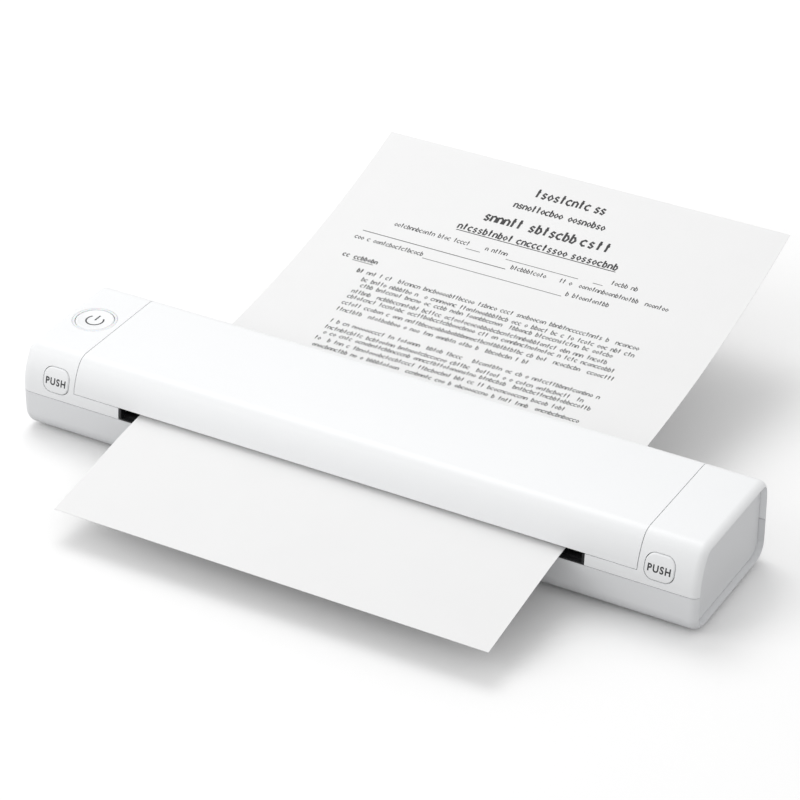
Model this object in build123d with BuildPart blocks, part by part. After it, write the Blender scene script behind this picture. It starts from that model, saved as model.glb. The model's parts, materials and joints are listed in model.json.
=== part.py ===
from build123d import *
from math import acos, cos, pi, radians, sin, tan
import os

# A portable A4 thermal printer: a long, low case with rounded shoulders. A full-length cover is
# hinged along the rear and held at the front by two push-button latches. A blank sheet enters the
# front slot, is squeezed between the print head in the cover and the platen roller in the base,
# and leaves over the rear.
# Frame: X along the case, +Y to the rear, +Z up. The origin is on the floor, under the middle.

# ---------------------------------------------------------------- case
LENGTH = 333.0
DEPTH = 70.0
HEIGHT = 41.5
FOOT_DROP = 1.25
WALL = 2.4
FRONT_CROWN_RADIUS = 8.0
FRONT_CROWN_TURN = 55.0
REAR_CROWN_RADIUS = 6.5
REAR_CROWN_TURN = 77.0
FACE_RADIUS = 30.0
SOLE_RADIUS = 9.0
END_ROUND = 4.0
SPLIT_Z = 20.45
SEAM = 0.3
LIP_HEIGHT = 1.5
LIP_THICKNESS = 1.1
LIP_CLEARANCE = 0.15

# ---------------------------------------------------------------- end pockets
POCKET_DEPTH = 3.0
PLATE_THICKNESS = 1.6
PLATE_CLEARANCE = 0.15
LEDGE = 1.4
LEDGE_THICKNESS = 2.0

# ---------------------------------------------------------------- cover, slots and hinge
BLOCK_LENGTH = 27.7
COVER_GAP = 0.35
COVER_EDGE_Z = 26.25
COVER_REAR_Z = 33.4
SLOT_MARGIN = 10.0
REAR_SLOT_HEIGHT = 5.8
FLANGE_DEPTH = 6.0
FLANGE_THICKNESS = 2.0
BLOCK_WALL = 1.5
COVER_RIB = 1.2
COVER_RIB_DEPTH = 2.6
COVER_RIB_COUNT = 5
COVER_RIB_PITCH = 46.0
HINGE_Y = 34.4
HINGE_Z = 32.6
KNUCKLE_RADIUS = 2.0
KNUCKLE_LENGTH = 4.0
COVER_KNUCKLE_LENGTH = 7.4
KNUCKLE_GAP = 0.3
HINGE_INSET = 40.5
PIN_RADIUS = 0.9
RUNNING_FIT = 0.05
PRESS_FIT = 0.01

# ---------------------------------------------------------------- sheet of paper
SHEET_INSET = 61.5
SHEET_LENGTH = 297.0
SHEET_THICKNESS = 0.2
NIP_Z = 27.2
PAPER_SLOPE = 5.08
FRONT_TAIL = 46.0
DROOP_START = 31.1
DROOP_TURN = 4.5
DROOP_RADIUS = 300.0
CURL_START = 45.2
CURL_RADIUS = 591.0
NIP_GAP = 0.1

# ---------------------------------------------------------------- platen, gears and motor
PLATEN_RADIUS = 6.5
PLATEN_MARGIN = 3.5
PLATEN_SHAFT_RADIUS = 2.0
RUBBER_WALL = 2.5
FRAME_MARGIN = 6.5
FRAME_THICKNESS = 3.0
FRAME_HALF_DEPTH = 24.0
FRAME_RISE = 4.6
BUSH_RADIUS = 4.0
BUSH_FLANGE = 5.0
BUSH_FLANGE_THICKNESS = 0.8
GEAR_MODULE = 0.8
PLATEN_TEETH = 24
IDLER_SMALL_TEETH = 12
IDLER_LARGE_TEETH = 28
PINION_TEETH = 12
PRESSURE_ANGLE = 20.0
BACKLASH = 0.2
CENTRE_SLACK = 0.1
ADDENDUM = 0.85
DEDENDUM = 1.15
FLANK_STEPS = 1
SMALL_FACE = 4.0
LARGE_FACE = 2.6
GEAR_GAP = 0.5
IDLER_ANGLE = -15.0
MOTOR_ANGLE = 190.0
IDLER_POST_RADIUS = 1.5
MOTOR_RADIUS = 10.0
MOTOR_LENGTH = 14.5
MOTOR_SHAFT_RADIUS = 1.0
MOTOR_BOSS_RADIUS = 3.0
BRACKET_THICKNESS = 1.2
BRACKET_Y = (-13.0, 24.0)
BRACKET_RISE = 5.0
BRACKET_FOOT = 6.0
MOTOR_EARS = 30.0
MOTOR_EAR_WIDTH = 8.0
MOTOR_EDGE = 0.8
SHAFT_END = 2.0
SHAFT_EDGE = 0.5
FRAME_CROWN = 8.0
FRAME_FOOT = 7.0
FRAME_FOOT_Y = (-13.0, 13.0)
FRAME_FOOT_THICKNESS = 2.0

# ---------------------------------------------------------------- print head
HEAD_MARGIN = 3.0
HEAD_DEPTH = 13.0
HEAD_THICKNESS = 1.0
GLAZE_WIDTH = 1.6
GLAZE_HEIGHT = 0.1
SINK_MARGIN = 4.5
SINK_DEPTH = 15.0
SINK_THICKNESS = 2.5
SINK_FIN_HEIGHT = 2.0
SINK_FIN_THICKNESS = 1.4
TAB_LENGTH = 4.1
TAB_DEPTH = 6.0
HEAD_TRAVEL = 0.8
HEAD_SPRING_INSET = 21.0
HEAD_SPRING_COUNT = 4
HEAD_SPRING_RADIUS = 2.3
SPRING_WIRE = 0.5
WIRE_SIDES = 3
TURN_STEPS = 12
HEAD_SPRING_TURNS = 3
SPRING_REACH = 5.2
SPRING_END_GAP = 0.05
CUP_RADIUS = 3.2
CUP_PEG = 1.5
HEAD_Y = 1.5
CARRIER_MARGIN = 5.2
CARRIER_THICKNESS = 2.2
CARRIER_BAR = 1.8

# ---------------------------------------------------------------- push buttons and latches
PUSH_INSET = 18.1
PUSH_Z = 29.45
PUSH_WIDTH = 13.3
PUSH_HEIGHT = 11.1
PUSH_CORNER = 4.2
PUSH_PROUD = 0.35
PUSH_EDGE = 0.4
PUSH_GAP = 0.35
PUSH_TRAVEL = 2.0
PUSH_WALL = 1.5
CAP_REAR_Y = -25.5
COLLAR_THICKNESS = 1.2
COLLAR_LIP = 1.4
SLIDER_WIDTH = 11.0
SLIDER_HEIGHT = 6.0
SLIDER_LENGTH = 10.0
SLIDER_RISE = 0.8
LATCH_ARM = 3.5
LATCH_REACH = 5.25
LATCH_BITE = 1.2
LATCH_NOSE = 2.0
LATCH_PLATE = 1.5
LATCH_PLATE_INSET = 0.6
LATCH_PLAY = 0.3
HOOK_WIDTH = 3.0
HOOK_THICKNESS = 2.0
HOOK_LIP_HEIGHT = 2.0
HOOK_TOP_Z = 26.0
NOSE_HEIGHT = 3.0
SHELF_THICKNESS = 1.4
SLIDE_CLEARANCE = 0.3
SPRING_PEG_LENGTH = 2.5
PUSH_SPRING_RADIUS = 2.2
PUSH_SPRING_TURNS = 4

# ---------------------------------------------------------------- power button
POWER_INSET = 14.8
POWER_Y = 2.9
RING_RADIUS = 10.25
RING_INNER_RADIUS = 9.1
RING_GAP = 0.15
POWER_RADIUS = 8.85
POWER_TRAVEL = 0.6
POWER_DISH = 0.35
POWER_THICKNESS = 1.8
POWER_SKIRT = 0.9
SWITCH_SIZE = 6.0
SWITCH_HEIGHT = 3.4
SWITCH_PLUNGER = 1.75
BOARD_THICKNESS = 1.2
SWITCH_BOARD_LENGTH = 16.0
SWITCH_BOARD_DEPTH = 12.0

# ---------------------------------------------------------------- inside the base
FOOT_LENGTH = 26.0
FOOT_WIDTH = 8.0
FOOT_INSET = 38.5
FOOT_Y = 20.0
FOOT_SEAT = 0.8
BATTERY_LENGTH = 104.0
BATTERY_DEPTH = 22.0
BATTERY_HEIGHT = 9.0
BATTERY_Y = -17.0
MAIN_BOARD_LENGTH = 150.0
MAIN_BOARD_DEPTH = 21.0
MAIN_BOARD_Y = 20.3
MAIN_BOARD_Z = 9.0
BOARD_POST_RADIUS = 2.4
USB_GAP = 8.0
USB_WIDTH = 9.0
USB_HEIGHT = 3.2
USB_LENGTH = 7.4
USB_WALL = 0.35
GUIDE_THICKNESS = 1.5
GUIDE_CLEARANCE = 1.0
GUIDE_SLOPE = 8.9
GUIDE_RIB_COUNT = 9
SENSOR_LENGTH = 5.0
SENSOR_DEPTH = 3.2
SENSOR_HEIGHT = 2.0
SCREW_INSET = 16.5
SCREW_FRONT_Y = -13.0
SCREW_REAR_Y = 23.0
SCREW_RADIUS = 1.25
SCREW_HEAD_RADIUS = 2.4
SCREW_HEAD_HEIGHT = 1.6
SCREW_BOSS_RADIUS = 3.3
FLOOR_RIB = 1.2
FLOOR_RIB_HEIGHT = 1.6
FLOOR_RIB_COUNT = 7
FLOOR_RIB_INSET = 15.5
RIB_REACH = 25.0
SWITCH_POST_PITCH = 11.0
SWITCH_BOARD_Z = 29.3
MAIN_POST_INSET = 9.0
MAIN_POST_PITCH = 13.0
USB_RECESS = 1.0
CRADLE_WALL = 1.4
CRADLE_HEIGHT = 5.0
GUIDE_WALL = 1.6
GUIDE_RIB_WIDTH = 1.2
GUIDE_RIB_HEIGHT = 0.7
GUIDE_RIB_INSET = 5.0
GUIDE_MARGIN = 3.5
GUIDE_END = 1.0
GUIDE_MOUTH = 6.5
GUIDE_REAR_Y = -7.5
GUIDE_FRONT_Y = -32.2
SILL_INSET = 0.25
SILL_HEIGHT = 0.65
CHEEK = 1.0
CHEEK_GAP = 0.6
BATTERY_LEG_GAP = 6.0
FRONT_LEG_INSET = 18.5
BOARD_LEG_GAP = 9.0
REAR_LEG_INSET = 8.5
LEG_FRONT_Y = (-25.0, -10.0)
LEG_REAR_Y = (12.0, 26.0)
UPPER_FRONT_Y = (-31.0, -8.5)
UPPER_REAR_Y = (10.8, 27.0)
LOWER_REAR_Y = (8.4, 30.8)
UPPER_RIB_COUNT = 6
UPPER_RIB_PITCH = 34.0
SENSOR_BAY = 1.6
SENSOR_BACK = 12.0
FOOT_CLEARANCE = 0.1
FOOT_EDGE = 0.5
SCREW_WELL = 2.6
SCREW_BITE = 5.0
RAIL_Y = (-21.6, -6.6)
RAIL_SIDE_GAP = 0.4
PEG_Y = 18.0
PEG_RADIUS = 1.5
PEG_LENGTH = 4.0
RING_FLANGE = 0.9
DISH_RIM = 1.0
STEM_Z = 35.6
BATTERY_EDGE = 1.5
USB_TONGUE = 6.0
CAPACITOR_X = (28.0, 38.0)
CAPACITOR_RADIUS = 3.2
CAPACITOR_HEIGHT = 8.0
CHIP = (-20.0, 10.0, 10.0, 1.2)
COIL = (-4.0, 7.0, 7.0, 3.0)
DRIVER = (12.0, 5.0, 6.0, 1.5)
HEAD_CONNECTOR = (-45.0, 26.0, 5.0, 3.0)

# ---------------------------------------------------------------- worked out from the above
FRONT_Y = -DEPTH / 2
REAR_Y = DEPTH / 2
SHELL_BOTTOM = FOOT_DROP
FLOOR_Z = SHELL_BOTTOM + WALL
CEILING_Z = HEIGHT - WALL
HALF_TURN = 180.0
END_X = LENGTH / 2
BLOCK_X = END_X - BLOCK_LENGTH
COVER_X = BLOCK_X - COVER_GAP
POWER_X = POWER_INSET - END_X
PUSH_X = END_X - PUSH_INSET
SCREW_X = END_X - SCREW_INSET
FOOT_X = END_X - FOOT_INSET
HINGE_X = END_X - HINGE_INSET
LATCH_ARM_END = COVER_X - LATCH_REACH
SHEET_WIDTH = LENGTH - 2 * SHEET_INSET
SHEET_X = SHEET_WIDTH / 2
SLOT_X = SHEET_X + SLOT_MARGIN
FRAME_X = SHEET_X + FRAME_MARGIN
GUIDE_X = SHEET_X + GUIDE_MARGIN
CARRIER_X = SHEET_X + CARRIER_MARGIN
PLATEN_LENGTH = SHEET_WIDTH + 2 * PLATEN_MARGIN
HEAD_LENGTH = SHEET_WIDTH + 2 * HEAD_MARGIN
SINK_LENGTH = SHEET_WIDTH + 2 * SINK_MARGIN
HEAD_SPRING_PITCH = (SHEET_WIDTH - 2 * HEAD_SPRING_INSET) / (HEAD_SPRING_COUNT - 1)
GUIDE_RIB_PITCH = (SHEET_WIDTH - 2 * GUIDE_RIB_INSET) / (GUIDE_RIB_COUNT - 1)
FLOOR_RIB_PITCH = 2 * (FRAME_X - FLOOR_RIB_INSET) / (FLOOR_RIB_COUNT - 1)
MAIN_POST_X = MAIN_BOARD_LENGTH / 2 - MAIN_POST_INSET
USB_X = MAIN_POST_X - USB_GAP
SENSOR_X = SENSOR_BAY * GUIDE_RIB_PITCH
GUIDE_LEGS_FRONT = (BATTERY_LENGTH / 2 + BATTERY_LEG_GAP, GUIDE_X - FRONT_LEG_INSET)
GUIDE_LEGS_REAR = (MAIN_BOARD_LENGTH / 2 + BOARD_LEG_GAP, GUIDE_X - REAR_LEG_INSET)
# The end's round runs on past the mouth of the pocket, so the uncut case is a little longer.
UNCUT_X = END_X + END_ROUND - (END_ROUND**2 - (END_ROUND - WALL) ** 2) ** 0.5
SLOPE = radians(PAPER_SLOPE)


def shoulder_run(crown_radius, crown_turn):
    """How far a shoulder reaches in from the widest point of the case to its flat top."""
    share = sin(radians(crown_turn))
    return crown_radius * share + FACE_RADIUS * (1 - share)


FRONT_CROWN_Y = FRONT_Y + shoulder_run(FRONT_CROWN_RADIUS, FRONT_CROWN_TURN)
REAR_CROWN_Y = REAR_Y - shoulder_run(REAR_CROWN_RADIUS, REAR_CROWN_TURN)
PLATE_OUTER_X = END_X - POCKET_DEPTH
PLATE_INNER_X = PLATE_OUTER_X - PLATE_THICKNESS
LEDGE_INNER_X = PLATE_INNER_X - LEDGE_THICKNESS
BLOCK_INNER_X = BLOCK_X + BLOCK_WALL
REAR_SLOT_Z = COVER_REAR_Z - REAR_SLOT_HEIGHT
LIP_INSET = WALL - LIP_THICKNESS
HALF_SHEET = SHEET_THICKNESS / 2
PLATEN_REACH = PLATEN_RADIUS + NIP_GAP + HALF_SHEET
PLATEN_Y = PLATEN_REACH * sin(SLOPE)
PLATEN_Z = NIP_Z - PLATEN_REACH * cos(SLOPE)
FRAME_OUTER_X = FRAME_X + FRAME_THICKNESS
SMALL_X = FRAME_OUTER_X + GEAR_GAP
LARGE_X = SMALL_X + SMALL_FACE + GEAR_GAP
BRACKET_X = LARGE_X + LARGE_FACE + GEAR_GAP
MOTOR_X = BRACKET_X + BRACKET_THICKNESS
IDLER_DISTANCE = GEAR_MODULE * (PLATEN_TEETH + IDLER_SMALL_TEETH) / 2 + CENTRE_SLACK
MOTOR_DISTANCE = GEAR_MODULE * (IDLER_LARGE_TEETH + PINION_TEETH) / 2 + CENTRE_SLACK
IDLER_Y = PLATEN_Y + IDLER_DISTANCE * cos(radians(IDLER_ANGLE))
IDLER_Z = PLATEN_Z + IDLER_DISTANCE * sin(radians(IDLER_ANGLE))
MOTOR_Y = IDLER_Y + MOTOR_DISTANCE * cos(radians(MOTOR_ANGLE))
MOTOR_Z = IDLER_Z + MOTOR_DISTANCE * sin(radians(MOTOR_ANGLE))
MAIN_POST_Y = (MAIN_BOARD_Y - MAIN_POST_PITCH / 2, MAIN_BOARD_Y + MAIN_POST_PITCH / 2)
SWITCH_POSTS = (POWER_X - SWITCH_POST_PITCH / 2, POWER_X + SWITCH_POST_PITCH / 2)
SCREW_SEAT_Z = SHELL_BOTTOM + SCREW_WELL
RAIL_OUTER_X = PUSH_X + SLIDER_WIDTH / 2 + RAIL_SIDE_GAP + SHELF_THICKNESS
MAIN_BOARD_TOP = MAIN_BOARD_Z + BOARD_THICKNESS
USB_Z = MAIN_BOARD_TOP + USB_HEIGHT / 2
LATCH_Z = PUSH_Z + SLIDER_RISE
SLIDER_Z = (LATCH_Z - SLIDER_HEIGHT / 2, LATCH_Z + SLIDER_HEIGHT / 2)
HEAD_LOW = HALF_SHEET + NIP_GAP + GLAZE_HEIGHT
SINK_LOW = HEAD_LOW + HEAD_THICKNESS
SPRING_TOP = SINK_LOW + SINK_THICKNESS + SPRING_REACH
HEAD_SPRINGS = [HEAD_SPRING_PITCH * (n - (HEAD_SPRING_COUNT - 1) / 2) for n in range(HEAD_SPRING_COUNT)]
UPPER_RIBS = [UPPER_RIB_PITCH * (n - (UPPER_RIB_COUNT - 1) / 2) for n in range(UPPER_RIB_COUNT)]
HOOK_Y = CAP_REAR_Y - LATCH_NOSE - LATCH_PLAY
HOOK_BOTTOM_Z = HOOK_TOP_Z - HOOK_LIP_HEIGHT
BATTERY_Z = FLOOR_Z + FLOOR_RIB_HEIGHT
GUIDE_REAR_Z = NIP_Z + GUIDE_REAR_Y * tan(SLOPE) - GUIDE_CLEARANCE - HALF_SHEET
CURL_LENGTH = SHEET_LENGTH - FRONT_TAIL - DROOP_START - CURL_START - DROOP_RADIUS * radians(DROOP_TURN)

# Under the top wall, the ring's and the button's flanges end in a flat beside the end plate.
RING_FLAT_X = SLIDE_CLEARANCE - PLATE_INNER_X

SIDES = (1, -1)
CORNER = (Align.MIN, Align.MIN, Align.MIN)
STANDING = (Align.CENTER, Align.CENTER, Align.MIN)
UPWARDS = (Align.CENTER, Align.MIN)
ACROSS = (-LENGTH, LENGTH)
DEEP = (-LENGTH, LENGTH)
ABOVE = 2 * HEIGHT
# The sheet runs through the nip on this plane: x along the case, y to the rear along the sheet.
NIP = Plane(origin=(0, 0, NIP_Z), x_dir=(1, 0, 0), z_dir=(0, -sin(SLOPE), cos(SLOPE)))
# The same place seen from the end: x along the sheet, y square to it.
NIP_SIDE = Plane(origin=(0, 0, NIP_Z), x_dir=(0, cos(SLOPE), sin(SLOPE)), z_dir=(1, 0, 0))
# The front guide slopes down to the slot more steeply, seen from the end from its rear edge.
FEED_SIDE = Plane(
    origin=(0, GUIDE_REAR_Y, GUIDE_REAR_Z),
    x_dir=(0, cos(radians(GUIDE_SLOPE)), sin(radians(GUIDE_SLOPE))),
    z_dir=(1, 0, 0),
)


def span(x, y, z, mode=Mode.ADD):
    """Add or cut a block between two limits on each axis."""
    with Locations((x[0], y[0], z[0])):
        Box(x[1] - x[0], y[1] - y[0], z[1] - z[0], align=CORNER, mode=mode)


def sided(side, near, far):
    """The limits in X of a stretch between two distances from the middle, on one side."""
    return sorted((side * near, side * far))


def rod(radius, x, y, z, mode=Mode.ADD):
    """Add or cut a round bar along X between two limits."""
    with BuildSketch(Plane.YZ.offset(x[0])) as disc:
        with Locations((y, z)):
            Circle(radius)
    extrude(disc.sketch, amount=x[1] - x[0], mode=mode)


def post(radius, x, y, z, mode=Mode.ADD):
    """Add or cut an upright round bar between two heights."""
    with BuildSketch(Plane.XY.offset(z[0])) as disc:
        with Locations((x, y)):
            Circle(radius)
    extrude(disc.sketch, amount=z[1] - z[0], mode=mode)


def case_face(inset=0.0):
    """End view of the case in sketch coordinates, with every side moved inwards by inset."""
    top, bottom = HEIGHT - inset, SHELL_BOTTOM + inset
    with BuildSketch() as view:
        with BuildLine():
            crown = Line((FRONT_CROWN_Y, top), (REAR_CROWN_Y, top))
            front = JernArc(crown @ 0, (-1, 0), FRONT_CROWN_RADIUS - inset, FRONT_CROWN_TURN)
            front_face = JernArc(front @ 1, front % 1, FACE_RADIUS - inset, 90 - FRONT_CROWN_TURN)
            rear = JernArc(crown @ 1, (1, 0), REAR_CROWN_RADIUS - inset, -REAR_CROWN_TURN)
            rear_face = JernArc(rear @ 1, rear % 1, FACE_RADIUS - inset, REAR_CROWN_TURN - 90)
            sole = Line((FRONT_Y + SOLE_RADIUS, bottom), (REAR_Y - SOLE_RADIUS, bottom))
            front_sole = JernArc(sole @ 0, (-1, 0), SOLE_RADIUS - inset, -90)
            rear_sole = JernArc(sole @ 1, (1, 0), SOLE_RADIUS - inset, 90)
            Line(front_face @ 1, front_sole @ 1)
            Line(rear_face @ 1, rear_sole @ 1)
        make_face()
    return view.sketch


def case_prism(inset, x):
    """The end view of the case, drawn out along X between two limits."""
    with BuildPart() as prism:
        with BuildSketch(Plane.YZ.offset(x[0])):
            add(case_face(inset))
        extrude(amount=x[1] - x[0])
    return prism.part


def case_ring(outer_inset, inner_inset, x, z):
    """A band of the case's wall between two insets, two limits in X and two heights."""
    outer, inner = case_prism(outer_inset, x), case_prism(inner_inset, x)
    with BuildPart() as ring:
        add(outer)
        add(inner, mode=Mode.SUBTRACT)
        span(ACROSS, DEEP, z, mode=Mode.INTERSECT)
    return ring.part


def case_shell():
    """The whole moulded case before it is cut up: rounded ends, a pocket and a ledge in each."""
    outer = case_prism(0.0, (-UNCUT_X, UNCUT_X))
    bore = case_prism(WALL + LEDGE, (-UNCUT_X, UNCUT_X))
    hollow = case_prism(WALL, (-LEDGE_INNER_X, LEDGE_INNER_X))
    pockets = [case_prism(WALL, sided(side, PLATE_INNER_X, UNCUT_X)) for side in SIDES]
    with BuildPart() as shell:
        add(outer)
        ends = shell.faces().sort_by(Axis.X)
        fillet(ends[0].edges() + ends[-1].edges(), END_ROUND)
        for space in (bore, hollow, *pockets):
            add(space, mode=Mode.SUBTRACT)
    return shell.part


def cover_view(gap=0.0):
    """What belongs to the cover in the end view, in sketch coordinates, grown downwards by gap."""
    with BuildSketch() as view:
        with BuildLine():
            Polyline(
                (-DEPTH, COVER_EDGE_Z - gap),
                (0, COVER_EDGE_Z - gap),
                (0, COVER_REAR_Z - gap),
                (DEPTH, COVER_REAR_Z - gap),
                (DEPTH, ABOVE),
                (-DEPTH, ABOVE),
                close=True,
            )
        make_face()
    return view.sketch


def cover_share(gap, x):
    """The stretch of the case that is the cover's, as a solid between two limits in X."""
    with BuildPart() as share:
        with BuildSketch(Plane.YZ.offset(x[0])):
            add(cover_view(gap))
        extrude(amount=x[1] - x[0])
    return share.part


def knuckle_spans(side):
    """The stretches in X of the two base knuckles and of the cover's one between them."""
    half = COVER_KNUCKLE_LENGTH / 2
    near, far = HINGE_X - half - KNUCKLE_GAP, HINGE_X + half + KNUCKLE_GAP
    base = [sided(side, near - KNUCKLE_LENGTH, near), sided(side, far, far + KNUCKLE_LENGTH)]
    return base, sided(side, HINGE_X - half, HINGE_X + half)


def knuckle(x, bore):
    """Add one hinge barrel with its bore."""
    rod(KNUCKLE_RADIUS, x, HINGE_Y, HINGE_Z)
    rod(bore, x, HINGE_Y, HINGE_Z, mode=Mode.SUBTRACT)


def knuckle_space(x):
    """Cut the room that another part's barrel needs."""
    room = (x[0] - KNUCKLE_GAP, x[1] + KNUCKLE_GAP)
    rod(KNUCKLE_RADIUS + KNUCKLE_GAP, room, HINGE_Y, HINGE_Z, mode=Mode.SUBTRACT)


def push_outline(grow=0.0):
    """Front view of a push button in sketch coordinates, grown outwards by grow."""
    with BuildSketch() as view:
        RectangleRounded(PUSH_WIDTH + 2 * grow, PUSH_HEIGHT + 2 * grow, PUSH_CORNER + grow)
    return view.sketch


def push_prism(grow, y):
    """The right-hand push button's front view, drawn out along Y between two limits."""
    with BuildPart() as prism:
        with BuildSketch(Plane.XZ.offset(-y[1])):
            with Locations((PUSH_X, PUSH_Z)):
                add(push_outline(grow))
        extrude(amount=y[1] - y[0])
    return prism.part


# ---------------------------------------------------------------- case
def foot_view(grow=0.0):
    """Plan of one rubber foot in sketch coordinates, grown outwards by grow."""
    with BuildSketch() as view:
        SlotOverall(FOOT_LENGTH + 2 * grow, FOOT_WIDTH + 2 * grow)
    return view.sketch


def lower_shell():
    """The tray: floor, walls, lip for the upper shell, bosses, ribs and seats for the feet."""
    whole = case_shell()
    lip_x = (-PLATE_INNER_X, PLATE_INNER_X)
    lip = case_ring(LIP_INSET, WALL, lip_x, (SPLIT_Z - SEAM, SPLIT_Z + LIP_HEIGHT))
    rib_z = (FLOOR_Z - SEAM, FLOOR_Z + FLOOR_RIB_HEIGHT)
    with BuildPart() as shell:
        add(whole)
        span(ACROSS, DEEP, (0, SPLIT_Z - SEAM / 2), mode=Mode.INTERSECT)
        add(lip)
        slot_cut = (-SLOT_X - LIP_CLEARANCE, SLOT_X + LIP_CLEARANCE)
        span(slot_cut, (FRONT_Y, 0), (SPLIT_Z - SEAM / 2, ABOVE), mode=Mode.SUBTRACT)
        with Locations((0, 0, rib_z[0])):
            with GridLocations(FLOOR_RIB_PITCH, 1, FLOOR_RIB_COUNT, 1):
                Box(FLOOR_RIB, 2 * RIB_REACH, rib_z[1] - rib_z[0], align=STANDING)
        cradle_x = BATTERY_LENGTH / 2 + SLIDE_CLEARANCE
        for x in (-cradle_x - CRADLE_WALL, cradle_x):
            cradle_y = (BATTERY_Y - BATTERY_DEPTH / 2, BATTERY_Y + BATTERY_DEPTH / 2)
            span((x, x + CRADLE_WALL), cradle_y, (rib_z[0], FLOOR_Z + CRADLE_HEIGHT))
        for x in SWITCH_POSTS:
            post(BOARD_POST_RADIUS, x, POWER_Y, (rib_z[0], SWITCH_BOARD_Z))
        for x in (-MAIN_POST_X, MAIN_POST_X):
            for y in MAIN_POST_Y:
                post(BOARD_POST_RADIUS, x, y, (rib_z[0], MAIN_BOARD_Z))
        for x in (-SCREW_X, SCREW_X):
            for y in (SCREW_FRONT_Y, SCREW_REAR_Y):
                post(SCREW_BOSS_RADIUS, x, y, (rib_z[0], SPLIT_Z - SEAM / 2))
                screw_well(x, y)
        with BuildSketch(Plane.XY.offset(SHELL_BOTTOM + FOOT_SEAT)):
            with GridLocations(2 * FOOT_X, 2 * FOOT_Y, 2, 2):
                add(foot_view(FOOT_CLEARANCE))
        extrude(amount=-2 * FOOT_SEAT, mode=Mode.SUBTRACT)
        usb_window(USB_HEIGHT + 2 * SLIDE_CLEARANCE)
    return shell.part


def screw_well(x, y):
    """Cut a stepped hole from the underside up through one screw boss."""
    shank = SCREW_RADIUS + RUNNING_FIT
    post(shank, x, y, (0, SPLIT_Z), mode=Mode.SUBTRACT)
    post(SCREW_HEAD_RADIUS + SLIDE_CLEARANCE, x, y, (0, SCREW_SEAT_Z), mode=Mode.SUBTRACT)


def usb_window(height):
    """Cut the rounded window of the charging socket through the rear wall."""
    with BuildSketch(Plane.XZ.offset(-REAR_Y - WALL)) as window:
        with Locations((USB_X, USB_Z)):
            SlotOverall(USB_WIDTH + 2 * SLIDE_CLEARANCE, height)
    extrude(window.sketch, amount=3 * WALL, mode=Mode.SUBTRACT)


def upper_shell():
    """The end blocks and the rear wall that joins them, with the buttons' holes and latch rails."""
    whole = case_shell()
    opening = cover_share(COVER_GAP, (-BLOCK_X, BLOCK_X))
    block_walls = [case_prism(0.0, sided(side, BLOCK_X, BLOCK_INNER_X)) for side in SIDES]
    rebate_x = (-PLATE_INNER_X - LIP_CLEARANCE, PLATE_INNER_X + LIP_CLEARANCE)
    rebate_z = (0, SPLIT_Z + LIP_HEIGHT + LIP_CLEARANCE)
    rebate = case_ring(LIP_INSET - LIP_CLEARANCE, WALL + LIP_CLEARANCE, rebate_x, rebate_z)
    hole = push_prism(PUSH_GAP, (FRONT_Y - WALL, CAP_REAR_Y + COLLAR_THICKNESS))
    with BuildPart() as shell:
        add(whole)
        add(opening, mode=Mode.SUBTRACT)
        slot_x = (-SLOT_X, SLOT_X)
        span(slot_x, (FRONT_Y - WALL, 0), (0, ABOVE), mode=Mode.SUBTRACT)
        span(slot_x, (0, REAR_Y + WALL), (REAR_SLOT_Z, ABOVE), mode=Mode.SUBTRACT)
        for block_wall in block_walls:
            add(block_wall)
        span(ACROSS, DEEP, (0, SPLIT_Z + SEAM / 2), mode=Mode.SUBTRACT)
        add(rebate, mode=Mode.SUBTRACT)
        for side in SIDES:
            latch_rails(side)
            add(hole if side > 0 else mirror(hole, about=Plane.YZ), mode=Mode.SUBTRACT)
            base, middle = knuckle_spans(side)
            knuckle_space(middle)
            for stretch in base:
                knuckle(stretch, PIN_RADIUS + PRESS_FIT)
        mouth = RING_RADIUS + RING_GAP
        post(mouth, POWER_X, POWER_Y, (CEILING_Z - WALL, ABOVE), mode=Mode.SUBTRACT)
        room = RING_RADIUS + RING_FLANGE + SLIDE_CLEARANCE
        post(room, POWER_X, POWER_Y, (CEILING_Z - WALL, CEILING_Z), mode=Mode.SUBTRACT)
    return shell.part


def latch_rails(side):
    """Add the shelves, side wall and spring wall that guide one latch, and its screw bosses."""
    x = sided(side, BLOCK_INNER_X - BLOCK_WALL / 2, RAIL_OUTER_X)
    low, high = SLIDER_Z[0] - SLIDE_CLEARANCE, SLIDER_Z[1] + SLIDE_CLEARANCE
    span(x, RAIL_Y, (low - SHELF_THICKNESS, low))
    span(x, RAIL_Y, (high, high + SHELF_THICKNESS))
    span(x, (RAIL_Y[1] - SHELF_THICKNESS, RAIL_Y[1]), (low, high))
    span(sided(side, RAIL_OUTER_X - SHELF_THICKNESS, RAIL_OUTER_X), RAIL_Y, (low, high))
    window_y = (CAP_REAR_Y - SLIDE_CLEARANCE, CAP_REAR_Y + LATCH_ARM + PUSH_TRAVEL + SLIDE_CLEARANCE)
    wall_x = sided(side, BLOCK_X - SEAM, BLOCK_INNER_X + SEAM)
    span(wall_x, window_y, (HOOK_TOP_Z, high), mode=Mode.SUBTRACT)
    pilot = SCREW_RADIUS - RUNNING_FIT
    for y, top in ((SCREW_FRONT_Y, low - SHELF_THICKNESS / 2), (SCREW_REAR_Y, CEILING_Z + WALL / 2)):
        post(SCREW_BOSS_RADIUS, side * SCREW_X, y, (SPLIT_Z + SEAM / 2, top))
        post(pilot, side * SCREW_X, y, (SPLIT_Z, SPLIT_Z + SCREW_BITE), mode=Mode.SUBTRACT)


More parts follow.
